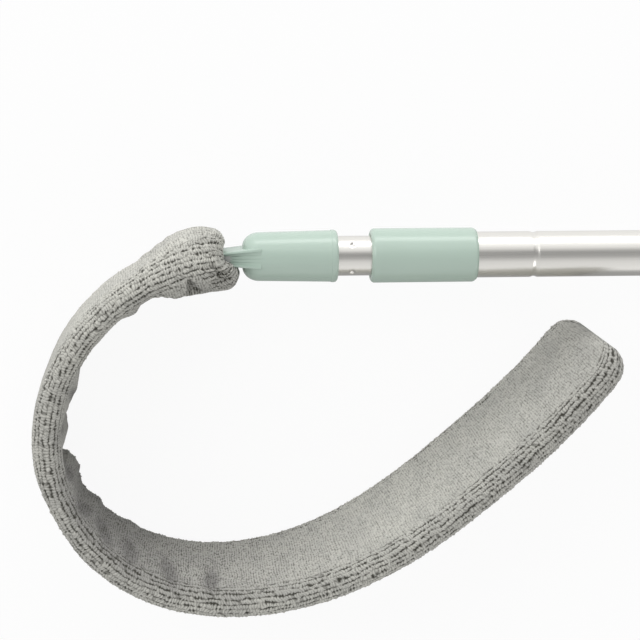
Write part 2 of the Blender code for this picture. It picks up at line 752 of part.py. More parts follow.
def make_handle_grip():
    """Hand grip moulded over the far end of the outer tube."""
    back = TUBE_TAIL
    front = back - GRIP_LENGTH
    nose = front + GRIP_RADIUS
    waist = front + GRIP_LENGTH / 2
    bore = OUTER_TUBE_RADIUS + GAP
    profile = [(front, bore)]
    profile += quarter_round(
        front + GRIP_EDGE / 2, GRIP_NOSE_RADIUS - GRIP_EDGE / 2, GRIP_EDGE / 2, 180.0, 90.0, 4
    )
    for share in GRIP_NOSE_SHARES:
        radius = GRIP_NOSE_RADIUS + (GRIP_RADIUS - GRIP_NOSE_RADIUS) * smooth_step(share)
        profile.append((front + GRIP_EDGE + (nose - front - GRIP_EDGE) * share, radius))
    for share in GRIP_WAIST_SHARES:
        dip = (GRIP_RADIUS - GRIP_WAIST_RADIUS) * sin(pi * share)
        profile.append((nose + 2 * (waist - nose) * share, GRIP_RADIUS - dip))
    profile += [(back - GRIP_EDGE / 2, GRIP_RADIUS), (back, GRIP_RADIUS - GRIP_EDGE / 2)]
    profile.append((back, bore))
    return make_object("handle_grip", turned(profile), "sage_plastic")


def make_end_plug():
    """Plug in the butt of the outer tube, flattened to a tab with a hanging hole."""
    spigot_radius = OUTER_TUBE_BORE - GAP
    spigot_start = TUBE_TAIL - END_PLUG_SPIGOT
    shoulder = -END_PLUG_LENGTH
    round_x = -END_PLUG_ROUND
    round_radius = GRIP_RADIUS - END_PLUG_ROUND
    profile = [
        (spigot_start, 0.0),
        (spigot_start, spigot_radius),
        (shoulder, spigot_radius),
        (shoulder, GRIP_RADIUS - GRIP_EDGE / 2),
        (shoulder + GRIP_EDGE / 2, GRIP_RADIUS),
    ]
    profile += quarter_round(round_x, round_radius, END_PLUG_ROUND, 90.0, 0.0, 7)
    profile.append((0.0, 0.0))
    plug = make_object("end_plug", turned(profile), "sage_plastic")
    half = HANG_TAB_THICKNESS / 2
    side = GRIP_RADIUS + OVERRUN
    for name, low, high in (("upper", half, side), ("lower", -side, -half)):
        flat = box((-HANG_TAB_LENGTH, -side, low), (OVERRUN, side, high))
        combine(plug, make_cutter("cut_flat_" + name, flat), "DIFFERENCE")
    place = (-HANG_HOLE_FROM_BUTT, 0.0, 0.0)
    hole = rod(HANG_HOLE_RADIUS, -side, side, place, (0.0, 0.0, 1.0))
    combine(plug, make_cutter("cut_hang_hole", hole), "DIFFERENCE")
    return plug


def build():
    clear_scene()
    make_outer_tube()
    make_collar()
    make_handle_grip()
    make_end_plug()
    make_inner_tube()
    make_tip_plug()
    make_cam_plug()
    make_guide_ring()
    make_cam_ring()
    make_neck()
    for number, place in enumerate(rivet_places(), start=1):
        make_core_rivet(number, place)
    make_sleeve_elastic()
    for number in range(SECTIONS):
        make_core_section(number)
        make_sleeve_section(number)


build()
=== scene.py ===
"""Looks of a telescopic duster: pole, collar, neck, grip and the bent sleeve of looped pile.

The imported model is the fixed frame. The duster lies on its side with its pole along X, the
butt at the origin, the head towards -X and +Z up. Lengths are in metres, angles in degrees.
"""

import bmesh
import bpy
import numpy as np
from bpy.props import FloatProperty, FloatVectorProperty, IntProperty, PointerProperty
from math import cos, pi, radians, sin
from mathutils import Matrix, Vector


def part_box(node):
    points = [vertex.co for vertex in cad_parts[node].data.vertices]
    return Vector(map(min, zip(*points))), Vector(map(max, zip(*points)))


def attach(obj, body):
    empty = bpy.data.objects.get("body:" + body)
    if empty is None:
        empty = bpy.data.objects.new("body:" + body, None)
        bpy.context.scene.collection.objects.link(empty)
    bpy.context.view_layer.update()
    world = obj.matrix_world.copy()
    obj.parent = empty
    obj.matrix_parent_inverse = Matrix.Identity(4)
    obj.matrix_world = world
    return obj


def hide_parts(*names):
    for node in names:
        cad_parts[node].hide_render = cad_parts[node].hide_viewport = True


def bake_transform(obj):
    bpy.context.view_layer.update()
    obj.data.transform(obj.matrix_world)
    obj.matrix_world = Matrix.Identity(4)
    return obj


bl_info = {
    "name": "Telescopic duster",
    "version": (1, 0, 0),
    "blender": (4, 5, 0),
    "location": "View3D > Sidebar > Duster",
    "description": "Dresses the packed duster with tubes, mouldings and a sleeve of looped pile",
    "category": "Object",
}

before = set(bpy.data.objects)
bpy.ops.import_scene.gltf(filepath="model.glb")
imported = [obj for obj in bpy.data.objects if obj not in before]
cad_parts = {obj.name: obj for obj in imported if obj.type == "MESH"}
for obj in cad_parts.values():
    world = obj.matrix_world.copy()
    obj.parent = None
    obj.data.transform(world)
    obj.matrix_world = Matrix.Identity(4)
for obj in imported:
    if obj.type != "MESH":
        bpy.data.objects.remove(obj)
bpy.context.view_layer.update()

# Places along the pole, taken from the frame
TUBE_MOUTH, TUBE_TAIL = (corner.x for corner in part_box("outer_tube"))
INNER_HEAD, INNER_TAIL = (corner.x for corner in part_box("inner_tube"))
COLLAR_FRONT, COLLAR_BACK = (corner.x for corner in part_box("collar"))
GRIP_FRONT, GRIP_BACK = (corner.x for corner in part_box("handle_grip"))
NECK_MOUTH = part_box("neck")[1].x

# Room between fitted pieces, the distance at which points are one, and the pile's unit
GAP = 0.0003
WELD = 0.00001
MILLIMETRE = 0.001
# The tip plug's spigot and flange, which the neck's socket fits
SPIGOT_RADIUS = 0.0065
FLANGE = 0.0020

# The band's heading and its turn about its own line, at even steps along the head
BEND_DEGREES = (182.9, 219.3, 261.8, 309.2, 350.9, 378.3, 395.9, 402.4, 412.3)
TWIST_DEGREES = (0.0, -0.2, -9.8, -18.8, -19.8)
HEAD_STEPS = 800
SECTIONS = 12

# Gathers at the mouth and puckers inside the bend: lengths along the band, and how far the
# outer and the inner face stand out there. Places in these tables are in millimetres too
OUTER_PLACES = (
    0, 4, 8, 11, 16, 20, 24, 30, 36, 45, 60, 88, 99, 125, 141, 150, 162, 200, 330, 370, 411.2,
)
OUTER_HEIGHTS = (
    4.8, 5.7, 6.7, 7, 6.5, 5.6, 3.9, 1.7, 0.1, 0, -0.4, -0.6, 0.1, 0.2, -0.6, -0.5, 0.2, 0.9, 1,
    1.3, 0.8,
)
INNER_PLACES = (
    0, 3, 7, 13, 18, 22, 25, 28, 31, 34.5, 38, 45.5, 53, 65, 74, 79, 87, 93, 99, 106, 111, 115,
    119, 122.5, 125, 127.5, 131, 135, 138, 144, 147, 154, 159, 165, 174, 179, 188,
)
INNER_HEIGHTS = (
    5.2, 6.2, 6.6, 6.6, 6.1, 5.5, 4.8, 3, 1.1, 0, 0.3, 2.8, 1, 1.2, 0, 0.1, 1.9, 2.9, 1.2, -0.4,
    0.2, 0.5, -1, -6.6, -4.6, -1, 0.5, 0.8, -0.6, -2, -1.8, 0, -1.2, -0.9, 0.4, -0.2, 0,
)

# Shade on the pile of the inner face, at lengths along the band: partly its lean away from the
# camera, partly painted shade low in the bend
NAP_PLACES = (0, 40, 70, 120, 145, 185, 220, 260, 300)
NAP_AND_SHADE_SHARES = (0.35, 0.30, 0.0, 0.2, 0.45, 0.4, 0.3, 0.15, 0.0)
# Painted shade on the pile all round the band, at lengths along it, deepest at the tip
ROUND_PLACES = (0, 60, 85, 115, 135, 170, 200, 290, 330, 411.2)
ROUND_PAINTED_SHADE = (0.0, 0.0, 0.18, 0.18, 0.28, 0.28, 0.12, 0.08, 0.17, 0.32)
# Soft creases across the inner face of the bend, where the pile also gets painted shade: lengths
# along the band
CREASE_PLACES = (93, 108, 130, 147, 161.5, 175.5, 194.5, 213)

# Light of the room: how far a direction points to +Y, and the level of the light from there
STUDIO_SHARES = (
    (-1.0, 1.00), (-0.80, 0.84), (-0.50, 0.80), (-0.15, 0.42), (0.20, 0.29), (0.38, 0.42),
    (0.55, 0.90), (0.80, 1.06), (1.0, 1.10),
)
# Painted reflection: the level at which the floor glows in bare metal only, on the near and on the
# far side of the pole
FLOOR_MIRROR_GLOW = (0.35, 1.0)


def linear(code):
    """Linear colour of an sRGB hex code."""
    parts = [int(code[i : i + 2], 16) / 255 for i in (1, 3, 5)]
    return [p / 12.92 if p <= 0.04045 else ((p + 0.055) / 1.055) ** 2.4 for p in parts]


def length(name, default, description):
    return FloatProperty(
        name=name, description=description, default=default, min=0.0, precision=5,
        subtype="DISTANCE", unit="LENGTH",
    )


def colour(name, code, description):
    return FloatVectorProperty(
        name=name, description=description, default=linear(code), size=3, min=0.0, max=1.0,
        subtype="COLOR",
    )


class DusterPoleSizes(bpy.types.PropertyGroup):
    """Sizes of the tubes and the mouldings on them."""

    sides: IntProperty(
        name="Sides", description="Faces round a turned piece", default=96, min=24, max=256
    )
    outer_radius: length("Outer tube radius", 0.0095, "Outside radius of the outer tube")
    outer_wall: length("Outer tube wall", 0.0007, "Thickness of the outer tube")
    inner_radius: length("Inner tube radius", 0.0082, "Outside radius of the inner tube")
    inner_wall: length("Inner tube wall", 0.0006, "Thickness of the inner tube")
    dent_depth: length("Dent depth", 0.0008, "Depth of the punched dents near the neck")
    dent_radius: length("Dent radius", 0.0018, "How far each punched dent spreads")
    dent_from_neck: length("Dent place", 0.0058, "From the neck's mouth to the dents")
    collar_radius: length("Collar radius", 0.0112, "Outside radius of the pole collar")
    collar_edge: length("Collar edge", 0.0017, "Rounding of the collar's ends")
    grip_radius: length("Grip radius", 0.0130, "Widest radius of the handle grip")


class DusterNeckSizes(bpy.types.PropertyGroup):
    """Sizes of the neck and its tongue."""

    mouth_radius: length("Mouth radius", 0.01080, "Outside radius at the neck's mouth")
    end_radius: length("End radius", 0.01000, "Outside radius before the domed end")
    body_length: length("Length", 0.0390, "Length of the neck without its tongue")
    dome_radius: length("Dome radius", 0.0058, "Rounding of the neck's domed end")
    dome_length: length("Dome length", 0.0068, "How far the domed end reaches along the neck")
    rim_length: length("Rim length", 0.0026, "Length of the raised rim at the mouth")
    rim_height: length("Rim height", 0.0002, "Height of the raised rim")
    tongue_showing: length("Tongue showing", 0.0067, "Tongue between the neck and the sleeve")
    tongue_width: length("Tongue width", 0.0194, "Tongue across the band")
    tongue_height: length("Tongue height", 0.0056, "Tongue through the band, at the sleeve")
    tongue_flare: FloatProperty(
        name="Tongue flare", description="Growth of the tongue's height to each unit of length",
        default=0.23, min=0.0, max=1.0,
    )


class DusterHeadSizes(bpy.types.PropertyGroup):
    """Sizes of the sleeve and its pile."""

    band_length: length("Length", 0.4112, "Length of the head along its middle line")
    band_width: length("Width", 0.0550, "Width of the band")
    band_thickness: length("Thickness", 0.0120, "Thickness of the band")
    pile_step: length("Pile step", 0.00030, "Size of the faces that carry the pile")
    row_pitch: length("Row pitch", 0.0023, "Width of one coarse row of loops on the edges")
    loop_pitch: length("Loop pitch", 0.00112, "Distance from loop to loop along a row")
    grain_pitch: length("Grain pitch", 0.0011, "Distance between tufts on the faces")


class DusterColours(bpy.types.PropertyGroup):
    """Colours of the finishes."""

    sage: colour("Sage plastic", "#B3C6BA", "Moulded plastic of collar, neck, grip and plug")
    tube: colour("Tube", "#EEECE7", "Anodised aluminium of both tubes")
    pile_crest: colour("Pile crests", "#D3D2CA", "Tips of the loops")
    # Painted shade: the dark colour down between the loops
    pile_valley_painted_shade: colour("Pile valleys", "#3F3E37", "Ground between the loops")
    pile_mottle: colour("Pile patches", "#B0B0AC", "Patches where the pile lies the other way")
    # Shade of the pile: its colour seen from the side it leans away from, and painted shade
    pile_nap_and_painted_shade_colour: colour("Pile shade", "#858382", "Pile seen from the side it leans away from")
    nylon: colour("Nylon", "#E6E5DF", "Moulded nylon of the tip plug and the lock")
    acetal: colour("Acetal", "#C9CBC8", "Cam ring and core strip")
    elastic: colour("Elastic", "#8E8D88", "Knitted elastic in the sleeve's mouth")
    steel: colour("Steel", "#B5B5B3", "Rivets of the core")


# Making pieces


def add_piece(name, mesh_data, material, smooth_degrees=40.0):
    """Link a finished bmesh as a piece of the duster."""
    mesh = bpy.data.meshes.new(name)
    mesh_data.to_mesh(mesh)
    mesh_data.free()
    mesh.shade_smooth()
    mesh.set_sharp_from_angle(angle=radians(smooth_degrees))
    mesh.materials.append(material)
    piece = bpy.data.objects.new(name, mesh)
    bpy.context.scene.collection.objects.link(piece)
    return piece


def closed(mesh_data):
    """Weld the points that meet, and turn the faces outwards."""
    bmesh.ops.remove_doubles(mesh_data, verts=mesh_data.verts[:], dist=WELD)
    bmesh.ops.recalc_face_normals(mesh_data, faces=mesh_data.faces[:])
    return mesh_data


def spun(profile, sides):
    """Turn a profile of (x, radius) points round the pole's axis."""
    mesh_data = bmesh.new()
    points = [mesh_data.verts.new((x, 0.0, radius)) for x, radius in profile]
    edges = [mesh_data.edges.new(pair) for pair in zip(points, points[1:])]
    if profile[0][1] or profile[-1][1]:
        edges.append(mesh_data.edges.new((points[-1], points[0])))
    bmesh.ops.spin(
        mesh_data, geom=points + edges, cent=(0.0, 0.0, 0.0), axis=(1.0, 0.0, 0.0),
        dvec=(0.0, 0.0, 0.0), angle=2 * pi, steps=sides, use_merge=True,
    )
    return closed(mesh_data)


def rounding(centre_x, centre_radius, radius, first, last, steps=6):
    """Points of a rounded edge in a profile, from one angle to another."""
    angles = np.linspace(radians(first), radians(last), steps)
    return [(centre_x + radius * cos(a), centre_radius + radius * sin(a)) for a in angles]


def block(low, high, edge=0.0, segments=3):
    """A box between two corners, with rounded edges."""
    mesh_data = bmesh.new()
    bmesh.ops.create_cube(mesh_data, size=1.0)
    bmesh.ops.scale(mesh_data, verts=mesh_data.verts[:], vec=Vector(high) - Vector(low))
    middle = (Vector(high) + Vector(low)) / 2
    bmesh.ops.translate(mesh_data, verts=mesh_data.verts[:], vec=middle)
    if edge:
        bevelled(mesh_data, edge, segments)
    return mesh_data


def bevelled(mesh_data, edge, segments):
    """Round every edge of a shape."""
    bmesh.ops.bevel(
        mesh_data, geom=mesh_data.edges[:], offset=edge, offset_type="OFFSET",
        segments=segments, profile=0.5, affect="EDGES", material=-1,
    )


def rod(radius, start, end, sides):
    """A plain cylinder between two points."""
    mesh_data = bmesh.new()
    reach = Vector(end) - Vector(start)
    bmesh.ops.create_cone(
        mesh_data, cap_ends=True, segments=sides, radius1=radius, radius2=radius,
        depth=reach.length,
    )
    turn = reach.to_track_quat("Z", "Y").to_matrix().to_4x4()
    place = Matrix.Translation((Vector(start) + Vector(end)) / 2) @ turn
    bmesh.ops.transform(mesh_data, matrix=place, verts=mesh_data.verts[:])
    return mesh_data


def settle(piece):
    """Make the piece's modifiers part of its mesh."""
    bpy.context.view_layer.update()
    settled = piece.evaluated_get(bpy.context.evaluated_depsgraph_get())
    result = bpy.data.meshes.new_from_object(settled)
    piece.modifiers.clear()
    old, piece.data = piece.data, result
    bpy.data.meshes.remove(old)
    return result


def carve(piece, mesh_data, operation):
    """Join a shape to the piece, or take it away, for good."""
    mesh = bpy.data.meshes.new(piece.name + "_cut")
    mesh_data.to_mesh(mesh)
    mesh_data.free()
    cutter = bpy.data.objects.new(piece.name + "_cut", mesh)
    bpy.context.scene.collection.objects.link(cutter)
    modifier = piece.modifiers.new("Carve", "BOOLEAN")
    modifier.operation = operation
    modifier.solver = "EXACT"
    modifier.object = cutter
    settle(piece)
    bpy.data.objects.remove(cutter)
    bpy.data.meshes.remove(mesh)


def round_edges(piece, width):
    """Round the piece's sharp edges, as a mould does, and smooth its faces."""
    modifier = piece.modifiers.new("Mould radius", "BEVEL")
    modifier.width = width
    modifier.segments = 3
    modifier.limit_method = "ANGLE"
    modifier.angle_limit = radians(35.0)
    modifier.use_clamp_overlap = True
    mesh = settle(piece)
    mesh.shade_smooth()
    mesh.set_sharp_from_angle(angle=radians(45.0))


# Materials


def fill(tree, node, values):
    """Give a node's inputs their values or links."""
    for socket, value in values.items():
        if isinstance(value, bpy.types.NodeSocket):
            tree.links.new(value, node.inputs[socket])
        else:
            node.inputs[socket].default_value = value


def add_node(tree, kind, settings=None, inputs=None):
    """Add a node, set it up, and fill its inputs with values or links."""
    node = tree.nodes.new(kind)
    for name, value in (settings or {}).items():
        setattr(node, name, value)
    fill(tree, node, inputs or {})
    return node


def place_on(tree):
    """Where a point is on its object."""
    return add_node(tree, "ShaderNodeTexCoord").outputs["Object"]


def noise(tree, place, scale, detail):
    inputs = {"Vector": place, "Scale": scale, "Detail": detail}
    return add_node(tree, "ShaderNodeTexNoise", inputs=inputs).outputs["Fac"]


def ranged(tree, value, low, high, start=0.0, stop=1.0):
    """A value stretched from one range to another, and kept within it."""
    inputs = {"Value": value, "From Min": start, "From Max": stop, "To Min": low, "To Max": high}
    return add_node(tree, "ShaderNodeMapRange", inputs=inputs).outputs["Result"]


def combined(tree, operation, first, second):
    settings = {"operation": operation}
    return add_node(tree, "ShaderNodeMath", settings, {0: first, 1: second}).outputs["Value"]


def mixed(tree, share, low, high):
    """A colour between two others."""
    inputs = {0: share, 6: low, 7: high}
    return add_node(tree, "ShaderNodeMix", {"data_type": "RGBA"}, inputs).outputs[2]


def bumped(tree, height, strength, distance):
    inputs = {"Height": height, "Strength": strength, "Distance": distance}
    return add_node(tree, "ShaderNodeBump", inputs=inputs).outputs["Normal"]


def rgba(tint, share=1.0):
    """A colour for a socket, made darker or paler by a share."""
    return (*(min(c * share, 1.0) for c in tint), 1.0)


def start_material(name):
    """A new material with its shader, ready for nodes."""
    material = bpy.data.materials.new(name)
    material.use_nodes = True
    tree = material.node_tree
    return material, tree, tree.nodes["Principled BSDF"]


def moulded_polypropylene(tint):
    """Injection-moulded polypropylene from a finely spark-eroded mould: satin, with a soft
    highlight, an even colour and a barely visible grain of about half a millimetre."""
    material, tree, shader = start_material("moulded_polypropylene")
    place = place_on(tree)
    flow = noise(tree, place, 60.0, 2.0)
    grain = noise(tree, place, 2200.0, 3.0)
    fill(tree, shader, {
        "Base Color": mixed(tree, flow, rgba(tint), rgba(tint, 1.06)),
        "Roughness": ranged(tree, grain, 0.20, 0.28),
        "Normal": bumped(tree, grain, 0.10, 0.00006),
        "IOR": 1.49,
        "Specular IOR Level": 0.7,
    })
    return material


def anodised_aluminium(tint):
    """Drawn aluminium tube, satin anodised: fine lines run lengthwise, and highlights are long
    streaks with soft edges."""
    material, tree, shader = start_material("anodised_aluminium")
    # Drawing lines are a tenth of a millimetre apart; drawn here 0.3 mm apart to show at all.
    inputs = {"Vector": place_on(tree), "Scale": (12.0, 3300.0, 3300.0)}
    drawn = add_node(tree, "ShaderNodeMapping", inputs=inputs).outputs["Vector"]
    lines = noise(tree, drawn, 1.0, 4.0)
    fill(tree, shader, {
        "Base Color": mixed(tree, lines, rgba(tint, 0.90), rgba(tint)),
        "Roughness": ranged(tree, lines, 0.24, 0.34),
        "Normal": bumped(tree, lines, 0.12, 0.00005),
        "Metallic": 1.0,
    })
    return material


def looped_pile(crest, painted_valley_shade, patch, shade):
    """Microfibre yarn knitted into loops: matt, with a soft sheen, pale on the tips of the loops,
    with painted shade down between them, in the folds and where the pile leans away. The yarn
    itself is about 0.3 mm thick."""
    material, tree, shader = start_material("looped_microfibre_pile")
    height, nap_and_painted_shade = (
        add_node(tree, "ShaderNodeAttribute", {"attribute_name": name}).outputs["Fac"]
        for name in ("pile_tone_with_painted_shade", "pile_nap_and_painted_shade")
    )
    surface = add_node(tree, "ShaderNodeUVMap", {"uv_map": "band"}).outputs["UV"]
    yarn = noise(tree, surface, 2.4, 3.0)
    # How far down between the loops a point is: the base colour runs from painted shade there to
    # the tips' colour
    settings = {"operation": "ADD", "use_clamp": True}
    inputs = {0: height, 1: ranged(tree, yarn, -0.35, 0.35)}
    depth = add_node(tree, "ShaderNodeMath", settings, inputs).outputs["Value"]
    patches = ranged(tree, noise(tree, surface, 0.07, 3.0), 0.0, 0.35, 0.42, 0.68)
    top = mixed(tree, patches, rgba(crest), rgba(patch))
    # Towards the shade colour: partly where the pile leans away, partly painted shade
    leaning_and_shaded = mixed(tree, nap_and_painted_shade, top, rgba(shade))
    fill(tree, shader, {
        "Base Color": mixed(tree, depth, rgba(painted_valley_shade), leaning_and_shaded),
        "Normal": bumped(tree, yarn, 0.7, 0.0003),
        "Roughness": 0.95,
        "Specular IOR Level": 0.2,
        "Sheen Weight": 0.15,
        "Sheen Roughness": 0.5,
    })
    return material


def plain_polymer(name, tint, roughness):
    """A hidden moulding of nylon or acetal: slightly waxy, with a faint flow pattern."""
    material, tree, shader = start_material(name)
    flow = noise(tree, place_on(tree), 250.0, 3.0)
    fill(tree, shader, {
        "Base Color": mixed(tree, flow, rgba(tint, 0.92), rgba(tint)),
        "Roughness": ranged(tree, flow, roughness - 0.06, roughness + 0.06),
        "IOR": 1.53,
    })
    return material


def knitted_elastic(tint):
    """Knitted rubber elastic: matt ribs about one millimetre apart."""
    material, tree, shader = start_material("knitted_elastic")
    inputs = {"Vector": place_on(tree), "Scale": 160.0, "Distortion": 1.0, "Detail": 2.0}
    ribs = add_node(tree, "ShaderNodeTexWave", {"bands_direction": "X"}, inputs).outputs["Fac"]
    fill(tree, shader, {
        "Base Color": mixed(tree, ribs, rgba(tint, 0.7), rgba(tint)),
        "Normal": bumped(tree, ribs, 0.4, 0.0002),
        "Roughness": 0.85,
    })
    return material


def bright_steel(tint):
    """Plated steel wire, headed cold: smooth, with small marks from the tool."""
    material, tree, shader = start_material("plated_steel")
    marks = noise(tree, place_on(tree), 900.0, 3.0)
    fill(tree, shader, {
        "Base Color": rgba(tint),
        "Roughness": ranged(tree, marks, 0.22, 0.38),
        "Metallic": 1.0,
    })
    return material


def finish_named(name):
    """The scene's material for a finish, made when it is first asked for."""
    colours = bpy.context.scene.duster_colours
    makers = {
        "moulded_polypropylene": lambda: moulded_polypropylene(colours.sage),
        "anodised_aluminium": lambda: anodised_aluminium(colours.tube),
        "looped_microfibre_pile": lambda: looped_pile(
            colours.pile_crest, colours.pile_valley_painted_shade, colours.pile_mottle, colours.pile_nap_and_painted_shade_colour
        ),
        "moulded_nylon": lambda: plain_polymer("moulded_nylon", colours.nylon, 0.45),
        "moulded_acetal": lambda: plain_polymer("moulded_acetal", colours.acetal, 0.40),
        "knitted_elastic": lambda: knitted_elastic(colours.elastic),
        "plated_steel": lambda: bright_steel(colours.steel),
    }
    return bpy.data.materials.get(name) or makers[name]()


# The band of the head


def unit(value):
    return np.clip(value, 0.0, 1.0)


def smooth_step(share):
    share = unit(share)
    return share * share * (3 - 2 * share)


def between(low, high, share):
    return low + (high - low) * share


def hill(value, middle, width):
    """A soft hill of height 1 about a middle value."""
    return np.exp(-(((value - middle) / width) ** 2))


def table_at(values, share):
    """Read a table at shares of its length, along a curve with no kinks."""
    values = np.asarray(values, float)
    last = len(values) - 1
    place = unit(share) * last
    index = np.minimum(place.astype(int), last - 1)
    part = place - index
    low = values[index]
    high = values[index + 1]
    before = np.where(index > 0, values[np.maximum(index - 1, 0)], 2 * low - high)
    after = np.where(
        index + 2 <= last, values[np.minimum(index + 2, last)], 2 * high - low
    )
    slope_low = (high - before) / 2
    slope_high = (after - low) / 2
    cubed = part ** 3
    squared = part ** 2
    return (
        (2 * cubed - 3 * squared + 1) * low
        + (cubed - 2 * squared + part) * slope_low
        + (3 * squared - 2 * cubed) * high
        + (cubed - squared) * slope_high
    )


def height_at(places, heights, along):
    """How far a face stands out at lengths along the band, with soft hills and hollows."""
    places, heights = np.asarray(places), np.asarray(heights)
    index = np.clip(np.searchsorted(places, along, side="right") - 1, 0, len(places) - 2)
    part = smooth_step((along - places[index]) / (places[index + 1] - places[index]))
    return between(heights[index], heights[index + 1], part)


class Band:
    """The bent band: its middle line and the directions across it."""

    def __init__(self, head, neck):
        self.length = head.band_length
        self.start_x = NECK_MOUTH - neck.body_length - neck.tongue_showing
        self.step = self.length / HEAD_STEPS
        shares = (np.arange(HEAD_STEPS) + 0.5) / HEAD_STEPS
        heading = np.radians(table_at(BEND_DEGREES, shares))
        steps = np.stack([np.cos(heading), np.sin(heading), 0 * heading], axis=1) * self.step
        start = np.array([[self.start_x, 0.0, 0.0]])
        self.places = np.concatenate([start, start + np.cumsum(steps, axis=0)])

    def at(self, along):
        """Middle, heading, inner side and width direction at lengths along the band."""
        along = np.asarray(along, float)
        share = unit(along / self.length)
        heading = np.radians(table_at(BEND_DEGREES, share))
        twist = np.radians(table_at(TWIST_DEGREES, share))
        none = np.zeros_like(heading)
        forward = np.stack([np.cos(heading), np.sin(heading), none], axis=-1)
        inward = np.stack([-np.sin(heading), np.cos(heading), none], axis=-1)
        upward = np.stack([none, none, none + 1.0], axis=-1)
        place = share * HEAD_STEPS
        index = np.minimum(place.astype(int), HEAD_STEPS - 1)
        part = (place - index)[..., None]
        middle = self.places[index] * (1 - part) + self.places[index + 1] * part
        middle = middle + forward * (along - share * self.length)[..., None]
        width = upward * np.cos(twist)[..., None] + inward * np.sin(twist)[..., None]
        inner = inward * np.cos(twist)[..., None] - upward * np.sin(twist)[..., None]
        return middle, forward, inner, width


def scatter(first, second, seed):
    """Numbers from 0 to 1 that look unordered but are always the same for the same places."""
    mixed = np.sin(first * 127.1 + second * 311.7 + seed * 74.7) * 43758.5453
    return mixed - np.floor(mixed)


def drift(across, along, seed):
    """Smooth unevenness from -1 to 1, one hill to each unit of either direction."""
    x, y = np.floor(across), np.floor(along)
    fx, fy = smooth_step(across - x), smooth_step(along - y)
    low = scatter(x, y, seed) * (1 - fx) + scatter(x + 1, y, seed) * fx
    high = scatter(x, y + 1, seed) * (1 - fx) + scatter(x + 1, y + 1, seed) * fx
    return 2 * (low * (1 - fy) + high * fy) - 1


def tufts(across, along, seed, jitter=0.75):
    """Rounded tufts on an unordered grid: 1 at the middle of each, 0 between them."""
    x, y = np.floor(across), np.floor(along)
    best = np.zeros(np.broadcast(across, along).shape)
    for i in (-1, 0, 1):
        for j in (-1, 0, 1):
            cx, cy = x + i, y + j
            px = cx + 0.5 + jitter * (scatter(cx, cy, seed) - 0.5)
            py = cy + 0.5 + jitter * (scatter(cx, cy, seed + 1) - 0.5)
            size = 0.75 + 0.25 * scatter(cx, cy, seed + 2)
            away = ((across - px) ** 2 + (along - py) ** 2) / (0.62 * size) ** 2
            best = np.maximum(best, size * np.sqrt(unit(1 - away)))
    return best


